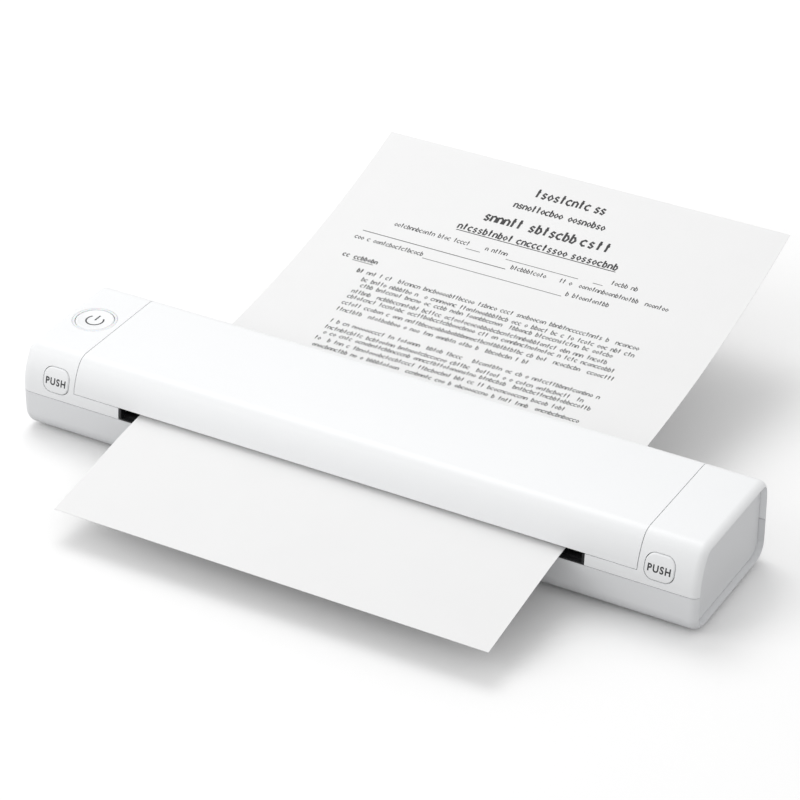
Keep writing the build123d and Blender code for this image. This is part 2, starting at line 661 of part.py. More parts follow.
def end_plate(side):
    """The plate that closes one end of the case at the bottom of its pocket."""
    face = case_face(WALL + PLATE_CLEARANCE)
    with BuildPart() as plate:
        with BuildSketch(Plane.YZ.offset(side * PLATE_INNER_X)):
            add(face)
        extrude(amount=side * PLATE_THICKNESS)
        for y in (-PEG_Y, PEG_Y):
            rod(PEG_RADIUS, sided(side, PLATE_INNER_X - PEG_LENGTH, PLATE_INNER_X), y, HEIGHT / 2)
    return plate.part


def rubber_foot(x, y):
    """One oval foot, seated in its recess in the underside."""
    with BuildPart() as foot:
        with BuildSketch():
            with Locations((x, y)):
                add(foot_view())
        extrude(amount=SHELL_BOTTOM + FOOT_SEAT)
        chamfer(foot.edges().group_by(Axis.Z)[0], FOOT_EDGE)
    return foot.part


def hinge_pin(side):
    """The steel pin through one hinge's three barrels."""
    base, _ = knuckle_spans(side)
    limits = sorted(limit for stretch in base for limit in stretch)
    with BuildPart() as pin:
        rod(PIN_RADIUS, (limits[0], limits[-1]), HINGE_Y, HINGE_Z)
    return pin.part


def case_screws():
    """The four self-tapping screws that come up through the lower shell."""
    with BuildPart() as screws:
        for x in (-SCREW_X, SCREW_X):
            for y in (SCREW_FRONT_Y, SCREW_REAR_Y):
                post(SCREW_HEAD_RADIUS, x, y, (SCREW_SEAT_Z - SCREW_HEAD_HEIGHT, SCREW_SEAT_Z))
                post(SCREW_RADIUS - RUNNING_FIT, x, y, (SCREW_SEAT_Z, SPLIT_Z + SCREW_BITE))
    return screws.part


# ---------------------------------------------------------------- cover
def top_cover():
    """The hinged cover: skin, end flanges, ribs, hooks, head carriers, spring cups and barrels."""
    skin_x = (-COVER_X, COVER_X)
    outer, inner = case_prism(0.0, skin_x), case_prism(WALL, skin_x)
    share = cover_share(0.0, skin_x)
    flange_bore = case_prism(FLANGE_DEPTH, skin_x)
    with BuildPart() as skin:
        add(outer)
        add(inner, mode=Mode.SUBTRACT)
        add(share, mode=Mode.INTERSECT)
    with BuildPart() as flanges:
        add(outer)
        add(flange_bore, mode=Mode.SUBTRACT)
        add(share, mode=Mode.INTERSECT)
        span((FLANGE_THICKNESS - COVER_X, COVER_X - FLANGE_THICKNESS), DEEP, (0, ABOVE), mode=Mode.SUBTRACT)
    with BuildPart() as ribs:
        with Locations((0, 0, CEILING_Z - COVER_RIB_DEPTH)):
            with GridLocations(COVER_RIB_PITCH, 1, COVER_RIB_COUNT, 1):
                Box(COVER_RIB, DEPTH, ABOVE, align=STANDING)
        add(inner, mode=Mode.INTERSECT)
    with BuildPart() as fittings:
        for side in SIDES:
            hook(side)
            head_carrier(side)
        for x in HEAD_SPRINGS:
            spring_cup(x)
        add(outer, mode=Mode.INTERSECT)
    with BuildPart() as cover:
        for piece in (skin, flanges, ribs, fittings):
            add(piece.part)
        for side in SIDES:
            base, middle = knuckle_spans(side)
            for stretch in base:
                knuckle_space(stretch)
            knuckle(middle, PIN_RADIUS + RUNNING_FIT)
    return cover.part


def hook(side):
    """Add one latch hook: a finger that hangs beside the end flange, with a lip to the rear."""
    with BuildSketch(Plane.YZ.offset(side * (COVER_X - FLANGE_THICKNESS))) as finger:
        with BuildLine():
            Polyline(
                (HOOK_Y, ABOVE),
                (HOOK_Y - HOOK_THICKNESS, ABOVE),
                (HOOK_Y - HOOK_THICKNESS, HOOK_BOTTOM_Z),
                (HOOK_Y, HOOK_BOTTOM_Z),
                (HOOK_Y + LATCH_PLAY + LATCH_BITE, HOOK_TOP_Z - HOOK_LIP_HEIGHT / 3),
                (HOOK_Y + LATCH_PLAY + LATCH_BITE, HOOK_TOP_Z),
                (HOOK_Y, HOOK_TOP_Z),
                close=True,
            )
        make_face()
    extrude(finger.sketch, amount=-side * HOOK_WIDTH)


def head_carrier(side):
    """Add the plate with a slot in which one end of the print head floats."""
    low = SINK_LOW - SLIDE_CLEARANCE
    slot_depth = TAB_DEPTH + 2 * SLIDE_CLEARANCE
    slot_height = SINK_THICKNESS + HEAD_TRAVEL + 2 * SLIDE_CLEARANCE
    with BuildSketch(NIP_SIDE.offset(side * CARRIER_X)) as plate:
        with Locations((HEAD_Y, low - CARRIER_BAR)):
            Rectangle(slot_depth + 2 * CARRIER_BAR, HEIGHT, align=UPWARDS)
        with Locations((HEAD_Y, low)):
            Rectangle(slot_depth, slot_height, align=UPWARDS, mode=Mode.SUBTRACT)
    extrude(plate.sketch, amount=side * CARRIER_THICKNESS)


def spring_cup(x):
    """Add the boss and the peg that hold the upper end of one head spring."""
    peg_radius = HEAD_SPRING_RADIUS - 2 * SPRING_WIRE
    for radius, low in ((CUP_RADIUS, SPRING_TOP), (peg_radius, SPRING_TOP - CUP_PEG)):
        with BuildSketch(NIP.offset(low)) as disc:
            with Locations((x, HEAD_Y)):
                Circle(radius)
        extrude(disc.sketch, amount=HEIGHT)


def coil(plane, radius, length, turns):
    """A compression spring that stands on a plane, each of its turns made of short straight steps."""
    wire = SPRING_WIRE / 2
    reach, rise = radius - wire, length - SPRING_WIRE
    step_turn, step_rise = 2 * pi / TURN_STEPS, rise / (turns * TURN_STEPS)
    angles = [step * step_turn for step in range(turns * TURN_STEPS + 1)]
    heights = [wire + step * step_rise for step in range(turns * TURN_STEPS + 1)]
    with BuildPart() as spring:
        with BuildLine() as path:
            Polyline(*((reach * cos(a), reach * sin(a), h) for a, h in zip(angles, heights)))
        with BuildSketch(Plane(origin=path.line @ 0, z_dir=path.line % 0)):
            RegularPolygon(wire, WIRE_SIDES)
        sweep(transition=Transition.RIGHT)
    return plane.location * spring.part


def head_spring(x):
    """One of the springs that press the print head on the platen."""
    sink_top = SINK_LOW + SINK_THICKNESS
    seat = Plane(NIP.offset(sink_top).location * Location((x, HEAD_Y, SPRING_END_GAP)))
    return coil(seat, HEAD_SPRING_RADIUS, SPRING_REACH - 2 * SPRING_END_GAP, HEAD_SPRING_TURNS)


def cover_guide(y):
    """An upper paper guide: a plate along the sheet with ribs that hang it from the cover."""
    ceiling = case_prism(WALL + SEAM, (-GUIDE_X, GUIDE_X))
    with BuildPart() as guide:
        with BuildSketch(NIP_SIDE.offset(-GUIDE_X)):
            with Locations(((y[0] + y[1]) / 2, GUIDE_CLEARANCE + HALF_SHEET)):
                Rectangle(y[1] - y[0], GUIDE_THICKNESS, align=UPWARDS)
        extrude(amount=2 * GUIDE_X)
        rib_y = (y[0] + GUIDE_END, y[1] - GUIDE_END)
        for x in UPPER_RIBS:
            with BuildSketch(NIP_SIDE.offset(x - GUIDE_WALL / 2)):
                with Locations(((rib_y[0] + rib_y[1]) / 2, GUIDE_CLEARANCE + HALF_SHEET)):
                    Rectangle(rib_y[1] - rib_y[0], HEIGHT, align=UPWARDS)
            extrude(amount=GUIDE_WALL)
        add(ceiling, mode=Mode.INTERSECT)
    return guide.part


# ---------------------------------------------------------------- print head
def thermal_head():
    """The ceramic plate of the print head, with the glazed ridge that carries the heaters."""
    with BuildPart() as head:
        with BuildSketch(NIP.offset(HEAD_LOW)):
            with Locations((0, HEAD_Y)):
                Rectangle(HEAD_LENGTH, HEAD_DEPTH)
        extrude(amount=HEAD_THICKNESS)
        with BuildSketch(NIP.offset(HEAD_LOW - GLAZE_HEIGHT)):
            Rectangle(HEAD_LENGTH, GLAZE_WIDTH)
        extrude(amount=GLAZE_HEIGHT)
    return head.part


def heat_sink():
    """The aluminium bar on the head's back: two fins along it and a tab at each end."""
    fin_y = (SINK_DEPTH - SINK_FIN_THICKNESS) / 2
    with BuildPart() as sink:
        with BuildSketch(NIP.offset(SINK_LOW)):
            with Locations((0, HEAD_Y)):
                Rectangle(SINK_LENGTH, SINK_DEPTH)
                Rectangle(SINK_LENGTH + 2 * TAB_LENGTH, TAB_DEPTH)
        extrude(amount=SINK_THICKNESS)
        with BuildSketch(NIP.offset(SINK_LOW + SINK_THICKNESS)):
            with Locations((0, HEAD_Y - fin_y), (0, HEAD_Y + fin_y)):
                Rectangle(SINK_LENGTH, SINK_FIN_THICKNESS)
        extrude(amount=SINK_FIN_HEIGHT)
    return sink.part


# ---------------------------------------------------------------- platen and gears
def side_frame(side):
    """The upright that carries one end of the platen, with a foot that is screwed to the floor."""
    top = PLATEN_Z + FRAME_RISE
    with BuildPart() as frame:
        with BuildSketch(Plane.YZ.offset(side * FRAME_X)):
            with BuildLine():
                Polyline(
                    (-FRAME_HALF_DEPTH, FLOOR_Z),
                    (FRAME_HALF_DEPTH, FLOOR_Z),
                    (FRAME_HALF_DEPTH, PLATEN_Z - FRAME_RISE),
                    (FRAME_CROWN, top),
                    (-FRAME_CROWN, top),
                    (-FRAME_HALF_DEPTH, PLATEN_Z - FRAME_RISE),
                    close=True,
                )
            make_face()
            with Locations((PLATEN_Y, PLATEN_Z)):
                Circle(BUSH_RADIUS, mode=Mode.SUBTRACT)
                Rectangle(2 * BUSH_RADIUS, HEIGHT, align=(Align.CENTER, Align.MIN), mode=Mode.SUBTRACT)
            if side > 0:
                with Locations((IDLER_Y, IDLER_Z)):
                    Circle(IDLER_POST_RADIUS, mode=Mode.SUBTRACT)
        extrude(amount=side * FRAME_THICKNESS)
        foot_x = sided(side, FRAME_X - FRAME_FOOT, FRAME_X)
        for y in FRAME_FOOT_Y:
            foot_y = (y - FRAME_FOOT / 2, y + FRAME_FOOT / 2)
            span(foot_x, foot_y, (FLOOR_Z, FLOOR_Z + FRAME_FOOT_THICKNESS))
    return frame.part


def platen_bush(side):
    """The plain bearing of one end of the platen, with a flange against the frame's inner face."""
    with BuildPart() as bush:
        rod(BUSH_RADIUS, sided(side, FRAME_X, FRAME_OUTER_X), PLATEN_Y, PLATEN_Z)
        flange = sided(side, FRAME_X - BUSH_FLANGE_THICKNESS, FRAME_X)
        rod(BUSH_FLANGE, flange, PLATEN_Y, PLATEN_Z)
        bore = sided(side, 0, LENGTH)
        rod(PLATEN_SHAFT_RADIUS + RUNNING_FIT, bore, PLATEN_Y, PLATEN_Z, mode=Mode.SUBTRACT)
    return bush.part


def platen_shaft():
    """The stepped steel shaft through the platen roller."""
    core = PLATEN_LENGTH / 2
    with BuildPart() as shaft:
        rod(PLATEN_RADIUS - RUBBER_WALL, (-core, core), PLATEN_Y, PLATEN_Z)
        rod(PLATEN_SHAFT_RADIUS, (-FRAME_OUTER_X - SHAFT_END, SMALL_X + SMALL_FACE), PLATEN_Y, PLATEN_Z)
        chamfer(shaft.faces().sort_by(Axis.X)[0].edges(), SHAFT_EDGE)
    return shaft.part


def platen_rubber():
    """The rubber sleeve that drives the sheet."""
    core = PLATEN_LENGTH / 2
    with BuildPart() as rubber:
        rod(PLATEN_RADIUS, (-core, core), PLATEN_Y, PLATEN_Z)
        rod(PLATEN_RADIUS - RUBBER_WALL, (-core, core), PLATEN_Y, PLATEN_Z, mode=Mode.SUBTRACT)
    return rubber.part


def involute(angle):
    """The involute function of a pressure angle in radians."""
    return tan(angle) - angle


def gear_view(teeth, tooth_angle):
    """End view of a spur gear about its own centre, with a tooth on the given angle in degrees."""
    pitch, pressure = GEAR_MODULE * teeth / 2, radians(PRESSURE_ANGLE)
    root, tip = pitch - DEDENDUM * GEAR_MODULE, pitch + ADDENDUM * GEAR_MODULE
    base = pitch * cos(pressure)
    start = max(base, root)
    half = pi / (2 * teeth) - BACKLASH / (4 * pitch) + involute(pressure)
    radii = [root] + [start + step * (tip - start) / FLANK_STEPS for step in range(FLANK_STEPS + 1)]
    flank = [(radius, half - involute(acos(min(1, base / radius)))) for radius in radii]
    corners = []
    for tooth in range(teeth):
        middle = radians(tooth_angle) + tooth * 2 * pi / teeth
        for turn, side in ((-1, flank), (1, reversed(flank))):
            corners += [(r * cos(middle + turn * a), r * sin(middle + turn * a)) for r, a in side]
    with BuildSketch() as view:
        with BuildLine():
            Polyline(*corners, close=True)
        make_face()
    return view.sketch


def toothed(teeth, tooth_angle, x, y, z):
    """Add a toothed rim along X between two limits."""
    with BuildSketch(Plane.YZ.offset(x[0])) as rim:
        with Locations((y, z)):
            add(gear_view(teeth, tooth_angle))
    extrude(rim.sketch, amount=x[1] - x[0])


def platen_gear():
    """The gear on the end of the platen shaft."""
    with BuildPart() as gear:
        toothed(PLATEN_TEETH, IDLER_ANGLE, (SMALL_X, SMALL_X + SMALL_FACE), PLATEN_Y, PLATEN_Z)
        rod(PLATEN_SHAFT_RADIUS, (0, LENGTH), PLATEN_Y, PLATEN_Z, mode=Mode.SUBTRACT)
    return gear.part


def idler_gear():
    """The double gear between motor and platen, in mesh with both."""
    gap_angle = IDLER_ANGLE + HALF_TURN + HALF_TURN / IDLER_SMALL_TEETH
    with BuildPart() as gear:
        toothed(IDLER_SMALL_TEETH, gap_angle, (SMALL_X, LARGE_X), IDLER_Y, IDLER_Z)
        toothed(IDLER_LARGE_TEETH, MOTOR_ANGLE, (LARGE_X, LARGE_X + LARGE_FACE), IDLER_Y, IDLER_Z)
        rod(IDLER_POST_RADIUS + RUNNING_FIT, (0, LENGTH), IDLER_Y, IDLER_Z, mode=Mode.SUBTRACT)
    return gear.part


def idler_post():
    """The steel post on which the double gear turns."""
    with BuildPart() as axle:
        rod(IDLER_POST_RADIUS, (FRAME_X, BRACKET_X + BRACKET_THICKNESS), IDLER_Y, IDLER_Z)
    return axle.part


def motor_pinion():
    """The small gear on the motor's shaft."""
    gap_angle = MOTOR_ANGLE - HALF_TURN + HALF_TURN / PINION_TEETH
    with BuildPart() as gear:
        toothed(PINION_TEETH, gap_angle, (LARGE_X, LARGE_X + LARGE_FACE), MOTOR_Y, MOTOR_Z)
        rod(MOTOR_SHAFT_RADIUS, (0, LENGTH), MOTOR_Y, MOTOR_Z, mode=Mode.SUBTRACT)
    return gear.part


def motor_shaft():
    """The motor's own shaft, from inside the can to the pinion's outer face."""
    with BuildPart() as shaft:
        rod(MOTOR_SHAFT_RADIUS, (LARGE_X, MOTOR_X + MOTOR_LENGTH / 2), MOTOR_Y, MOTOR_Z)
    return shaft.part


def motor_bracket():
    """The steel plate that carries the motor and the far end of the idler's post."""
    x = (BRACKET_X, BRACKET_X + BRACKET_THICKNESS)
    with BuildPart() as bracket:
        span(x, BRACKET_Y, (FLOOR_Z, IDLER_Z + BRACKET_RISE))
        foot_x = (BRACKET_X - BRACKET_FOOT, x[1])
        span(foot_x, (BRACKET_Y[0], BRACKET_Y[0] + BRACKET_FOOT), (FLOOR_Z, FLOOR_Z + BRACKET_THICKNESS))
        rod(MOTOR_BOSS_RADIUS + RUNNING_FIT, x, MOTOR_Y, MOTOR_Z, mode=Mode.SUBTRACT)
        rod(IDLER_POST_RADIUS, x, IDLER_Y, IDLER_Z, mode=Mode.SUBTRACT)
    return bracket.part


def stepper_motor():
    """The motor's can with its mounting ears, front boss and shaft bore."""
    with BuildPart() as motor:
        rod(MOTOR_RADIUS, (MOTOR_X, MOTOR_X + MOTOR_LENGTH), MOTOR_Y, MOTOR_Z)
        chamfer(motor.edges().sort_by(Axis.X)[-1], MOTOR_EDGE)
        with BuildSketch(Plane.YZ.offset(MOTOR_X)):
            with Locations((MOTOR_Y, MOTOR_Z)):
                SlotOverall(MOTOR_EARS, MOTOR_EAR_WIDTH)
        extrude(amount=BRACKET_THICKNESS)
        rod(MOTOR_BOSS_RADIUS, (BRACKET_X, MOTOR_X), MOTOR_Y, MOTOR_Z)
        bore = (BRACKET_X, MOTOR_X + MOTOR_LENGTH / 2 + RUNNING_FIT)
        rod(MOTOR_SHAFT_RADIUS + RUNNING_FIT, bore, MOTOR_Y, MOTOR_Z, mode=Mode.SUBTRACT)
    return motor.part


# ---------------------------------------------------------------- paper path
def side_strip(plane, x, along, up, mode=Mode.ADD):
    """Add or cut a bar between two limits in X, drawn on a plane that looks along X."""
    with BuildSketch(plane.offset(x[0])) as section:
        with Locations((along[0], up[0])):
            Rectangle(along[1] - along[0], up[1] - up[0], align=(Align.MIN, Align.MIN))
    extrude(section.sketch, amount=x[1] - x[0], mode=mode)


def guide_legs(plane, legs, y, under):
    """The upright walls that carry a guide, cut off along the middle of its plate."""
    with BuildPart() as walls:
        for x in (*legs, *(-leg for leg in legs)):
            span((x - GUIDE_WALL / 2, x + GUIDE_WALL / 2), y, (FLOOR_Z, NIP_Z))
        side_strip(plane, ACROSS, DEEP, (under, ABOVE), mode=Mode.SUBTRACT)
    return walls.part


def slot_lining(mouth_x):
    """The sill and the two cheeks that line the front slot out to the face of the case."""
    low = SPLIT_Z - SEAM / 2 + RUNNING_FIT
    y = (FRONT_Y, GUIDE_FRONT_Y + GUIDE_RIB_WIDTH)
    face = case_prism(SILL_INSET, (-mouth_x, mouth_x))
    with BuildPart() as lining:
        span((-mouth_x, mouth_x), y, (low, low + SILL_HEIGHT))
        for side in SIDES:
            span(sided(side, mouth_x - CHEEK, mouth_x), y, (low, COVER_EDGE_Z - CHEEK_GAP))
        add(face, mode=Mode.INTERSECT)
    return lining.part


def paper_guide_front():
    """The lower guide from the front slot to the nip: ribs along the sheet, and the slot's lining."""
    length = (GUIDE_REAR_Y - GUIDE_FRONT_Y) / cos(radians(GUIDE_SLOPE))
    plate = (-GUIDE_RIB_HEIGHT - GUIDE_THICKNESS, -GUIDE_RIB_HEIGHT)
    mouth_x, run_x = SLOT_X - PUSH_GAP, FRAME_X - GUIDE_END
    legs = guide_legs(FEED_SIDE, GUIDE_LEGS_FRONT, LEG_FRONT_Y, plate[0] + GUIDE_THICKNESS / 2)
    lining = slot_lining(mouth_x)
    with BuildPart() as guide:
        side_strip(FEED_SIDE, (-run_x, run_x), (-length, 0), plate)
        side_strip(FEED_SIDE, (-mouth_x, mouth_x), (-length, GUIDE_MOUTH - length), plate)
        side_strip(FEED_SIDE, (-mouth_x, mouth_x), (-length, GUIDE_RIB_WIDTH - length), (plate[1], 0))
        for n in range(GUIDE_RIB_COUNT):
            x = GUIDE_RIB_PITCH * (n - (GUIDE_RIB_COUNT - 1) / 2)
            side_strip(FEED_SIDE, (x, x + GUIDE_RIB_WIDTH), (-length, 0), (plate[1], 0))
        add(legs)
        add(lining)
        half = SENSOR_LENGTH / 2 + LIP_CLEARANCE
        sensor_x = (SENSOR_X - half, SENSOR_X + half)
        sensor_y = (-SENSOR_BACK - SENSOR_DEPTH - LIP_CLEARANCE, LIP_CLEARANCE - SENSOR_BACK)
        side_strip(FEED_SIDE, sensor_x, sensor_y, (plate[0], 0), mode=Mode.SUBTRACT)
    return guide.part


def paper_sensor():
    """The optical sensor in the front guide's window, which sees that a sheet is in."""
    x = (SENSOR_X - SENSOR_LENGTH / 2, SENSOR_X + SENSOR_LENGTH / 2)
    top = -GUIDE_RIB_HEIGHT
    with BuildPart() as sensor:
        side_strip(FEED_SIDE, x, (-SENSOR_BACK - SENSOR_DEPTH, -SENSOR_BACK), (top - SENSOR_HEIGHT, top))
    return sensor.part


def paper_guide_rear():
    """The lower guide from the nip to the rear slot."""
    top = -GUIDE_CLEARANCE - HALF_SHEET
    legs = guide_legs(NIP_SIDE, GUIDE_LEGS_REAR, LEG_REAR_Y, top - GUIDE_THICKNESS / 2)
    with BuildPart() as guide:
        side_strip(NIP_SIDE, (-GUIDE_X, GUIDE_X), LOWER_REAR_Y, (top - GUIDE_THICKNESS, top))
        add(legs)
    return guide.part


def paper_sheet():
    """An A4 sheet half way through: it droops in front, runs straight inside and curls up behind."""
    ahead = Vector(0, cos(SLOPE), sin(SLOPE))
    normal = Vector(0, -sin(SLOPE), cos(SLOPE))
    with BuildPart() as sheet:
        with BuildSketch(Plane.YZ.offset(-SHEET_WIDTH / 2)):
            with BuildLine():
                ends = []
                for shift in (-HALF_SHEET, HALF_SHEET):
                    front = Vector(0, 0, NIP_Z) + normal * shift - ahead * DROOP_START
                    rear = Vector(0, 0, NIP_Z) + normal * shift + ahead * CURL_START
                    Line((front.Y, front.Z), (rear.Y, rear.Z))
                    start, back = (front.Y, front.Z), (-ahead.Y, -ahead.Z)
                    droop = JernArc(start, back, DROOP_RADIUS + shift, DROOP_TURN)
                    tail = PolarLine(droop @ 1, FRONT_TAIL, direction=droop % 1)
                    turn = CURL_LENGTH / CURL_RADIUS * HALF_TURN / pi
                    curl = JernArc((rear.Y, rear.Z), (ahead.Y, ahead.Z), CURL_RADIUS - shift, turn)
                    ends.append((tail @ 1, curl @ 1))
                Line(ends[0][0], ends[1][0])
                Line(ends[0][1], ends[1][1])
            make_face()
        extrude(amount=SHEET_WIDTH)
    return sheet.part


# ---------------------------------------------------------------- push buttons and latches
def push_button():
    """The right-hand cap: its face follows the case, and a flange behind the wall keeps it in."""
    y = (FRONT_Y - WALL, CAP_REAR_Y)
    outline, core = push_prism(0.0, y), push_prism(-PUSH_WALL, y)
    proud = case_prism(-PUSH_PROUD, (BLOCK_X, END_X))
    inside = case_prism(PUSH_WALL, (BLOCK_X, END_X))
    collar_x = (PUSH_X - PUSH_WIDTH / 2, PUSH_X + PUSH_WIDTH / 2 + COLLAR_LIP)
    collar_z = (PUSH_Z - PUSH_HEIGHT / 2 - COLLAR_LIP, PUSH_Z + PUSH_HEIGHT / 2 - PUSH_CORNER)
    collar_inset = WALL + SLIDE_CLEARANCE
    collar = case_ring(collar_inset, collar_inset + COLLAR_THICKNESS, collar_x, collar_z)
    with BuildPart() as cap:
        add(outline)
        add(proud, mode=Mode.INTERSECT)
        chamfer(cap.faces().sort_by(Axis.Y)[0].edges(), PUSH_EDGE)
    with BuildPart() as flange:
        add(collar)
        span(collar_x, (FRONT_Y, CAP_REAR_Y), collar_z, mode=Mode.INTERSECT)
    with BuildPart() as hollow:
        add(core)
        add(inside, mode=Mode.INTERSECT)
    with BuildPart() as button:
        add(cap.part)
        add(flange.part)
        add(hollow.part, mode=Mode.SUBTRACT)
    return button.part


def latch_slider():
    """The right-hand latch: a plate behind the cap, a block in its rails, an arm and a nose."""
    block_x = (PUSH_X - SLIDER_WIDTH / 2, PUSH_X + SLIDER_WIDTH / 2)
    plate_x = (PUSH_X - PUSH_WIDTH / 2, PUSH_X + PUSH_WIDTH / 2)
    plate_reach = PUSH_HEIGHT / 2 - LATCH_PLATE_INSET
    plate_z = (PUSH_Z - plate_reach, PUSH_Z + plate_reach)
    block_end = CAP_REAR_Y + LATCH_PLATE + SLIDER_LENGTH
    with BuildPart() as latch:
        span(plate_x, (CAP_REAR_Y, CAP_REAR_Y + LATCH_PLATE), plate_z)
        span(block_x, (CAP_REAR_Y, block_end), SLIDER_Z)
        span((LATCH_ARM_END, PUSH_X), (CAP_REAR_Y, CAP_REAR_Y + LATCH_ARM), SLIDER_Z)
        with BuildSketch(Plane.YZ.offset(LATCH_ARM_END)):
            with BuildLine():
                Polyline(
                    (CAP_REAR_Y, HOOK_TOP_Z + LATCH_PLAY),
                    (CAP_REAR_Y - LATCH_NOSE, HOOK_TOP_Z + LATCH_PLAY),
                    (CAP_REAR_Y - LATCH_NOSE, HOOK_TOP_Z + LATCH_PLAY + LATCH_NOSE / 2),
                    (CAP_REAR_Y, HOOK_TOP_Z + LATCH_PLAY + NOSE_HEIGHT),
                    (CAP_REAR_Y + LATCH_ARM, HOOK_TOP_Z + LATCH_PLAY + NOSE_HEIGHT),
                    (CAP_REAR_Y + LATCH_ARM, HOOK_TOP_Z + LATCH_PLAY),
                    close=True,
                )
            make_face()
        extrude(amount=HOOK_WIDTH)
        with BuildSketch(Plane.XZ.offset(-block_end)):
            with Locations((PUSH_X, LATCH_Z)):
                Circle(PUSH_SPRING_RADIUS - 2 * SPRING_WIRE)
        extrude(amount=-SPRING_PEG_LENGTH)
    return latch.part


def latch_spring():
    """The spring that returns the right-hand latch and its button."""
    start = CAP_REAR_Y + LATCH_PLATE + SLIDER_LENGTH + SPRING_END_GAP
    seat = Plane(origin=(PUSH_X, start, LATCH_Z), x_dir=(1, 0, 0), z_dir=(0, 1, 0))
    length = RAIL_Y[1] - SHELF_THICKNESS - SPRING_END_GAP - start
    return coil(seat, PUSH_SPRING_RADIUS, length, PUSH_SPRING_TURNS)


# ---------------------------------------------------------------- power button
def light_ring():
    """The translucent ring around the power button, with a flange under the shell."""
    low = CEILING_Z - RING_FLANGE
    with BuildPart() as ring:
        post(RING_RADIUS, POWER_X, POWER_Y, (CEILING_Z, HEIGHT))
        post(RING_RADIUS + RING_FLANGE, POWER_X, POWER_Y, (low, CEILING_Z))
        post(RING_INNER_RADIUS, POWER_X, POWER_Y, (low, HEIGHT), mode=Mode.SUBTRACT)
        span((-END_X, RING_FLAT_X), DEEP, (0, CEILING_Z), mode=Mode.SUBTRACT)
    return ring.part


def power_button():
    """The round cap with a shallow dish, a flange that keeps it in and a stem for the switch."""
    flange_top = CEILING_Z - RING_FLANGE - SLIDE_CLEARANCE
    skirt = flange_top - POWER_SKIRT
    with BuildPart() as button:
        post(POWER_RADIUS, POWER_X, POWER_Y, (skirt, HEIGHT))
        chamfer(button.edges().sort_by(Axis.Z)[-1], POWER_DISH)
        post(POWER_RADIUS + POWER_SKIRT, POWER_X, POWER_Y, (skirt, flange_top))
        span((-END_X, RING_FLAT_X), DEEP, (0, flange_top), mode=Mode.SUBTRACT)
        with Locations((POWER_X, POWER_Y, HEIGHT - POWER_DISH)):
            dish = POWER_RADIUS - DISH_RIM
            Cone(dish - DISH_RIM, dish, POWER_DISH, align=STANDING, mode=Mode.SUBTRACT)
        hollow = POWER_RADIUS - POWER_THICKNESS
        post(hollow, POWER_X, POWER_Y, (skirt, HEIGHT - POWER_THICKNESS - POWER_DISH), mode=Mode.SUBTRACT)
        post(SWITCH_PLUNGER, POWER_X, POWER_Y, (STEM_Z, HEIGHT - POWER_THICKNESS))
    return button.part


def switch_board():
    """The small circuit board under the power button."""
    with BuildPart() as board:
        with BuildSketch(Plane.XY.offset(SWITCH_BOARD_Z)):
            with Locations((POWER_X, POWER_Y)):
                RectangleRounded(SWITCH_BOARD_LENGTH, SWITCH_BOARD_DEPTH, BOARD_THICKNESS)
        extrude(amount=BOARD_THICKNESS)
    return board.part


def tact_switch():
    """The switch that the power button's stem presses."""
    low = SWITCH_BOARD_Z + BOARD_THICKNESS
    with BuildPart() as switch:
        with Locations((POWER_X, POWER_Y, low)):
            Box(SWITCH_SIZE, SWITCH_SIZE, SWITCH_HEIGHT, align=STANDING)
        post(SWITCH_PLUNGER, POWER_X, POWER_Y, (low + SWITCH_HEIGHT, STEM_Z - POWER_TRAVEL - NIP_GAP))
    return switch.part


# ---------------------------------------------------------------- power and electronics
def battery_pack():
    """The wrapped battery on the floor's ribs, between the walls of its cradle."""
    with BuildPart() as battery:
        with Locations((0, BATTERY_Y, BATTERY_Z)):
            Box(BATTERY_LENGTH, BATTERY_DEPTH, BATTERY_HEIGHT, align=STANDING)
        chamfer(battery.edges().filter_by(Axis.X), BATTERY_EDGE)
    return battery.part


def main_board():
    """The main circuit board on its four posts."""
    with BuildPart() as board:
        with BuildSketch(Plane.XY.offset(MAIN_BOARD_Z)):
            with Locations((0, MAIN_BOARD_Y)):
                RectangleRounded(MAIN_BOARD_LENGTH, MAIN_BOARD_DEPTH, BOARD_THICKNESS)
        extrude(amount=BOARD_THICKNESS)
    return board.part


def board_parts():
    """The parts soldered on the main board: chips, a coil, two capacitors and the connectors."""
    seat = Plane.XY.offset(MAIN_BOARD_TOP)
    with BuildPart() as parts:
        for x, length, depth, height in (CHIP, COIL, DRIVER, HEAD_CONNECTOR):
            with BuildSketch(seat):
                with Locations((x, MAIN_BOARD_Y)):
                    Rectangle(length, depth)
            extrude(amount=height)
        for x in CAPACITOR_X:
            post(CAPACITOR_RADIUS, x, MAIN_BOARD_Y, (MAIN_BOARD_TOP, MAIN_BOARD_TOP + CAPACITOR_HEIGHT))
    return parts.part


def usb_c_port():
    """The charging socket: a rounded steel shell with its tongue inside."""
    mouth = REAR_Y - USB_RECESS
    with BuildPart() as socket:
        with BuildSketch(Plane.XZ.offset(-mouth)):
            with Locations((USB_X, USB_Z)):
                SlotOverall(USB_WIDTH, USB_HEIGHT)
        extrude(amount=USB_LENGTH)
        with BuildSketch(Plane.XZ.offset(-mouth)):
            with Locations((USB_X, USB_Z)):
                SlotOverall(USB_WIDTH - 2 * USB_WALL, USB_HEIGHT - 2 * USB_WALL)
                Rectangle(USB_TONGUE, 2 * USB_WALL, mode=Mode.SUBTRACT)
        extrude(amount=USB_LENGTH - BOARD_THICKNESS, mode=Mode.SUBTRACT)
    return socket.part


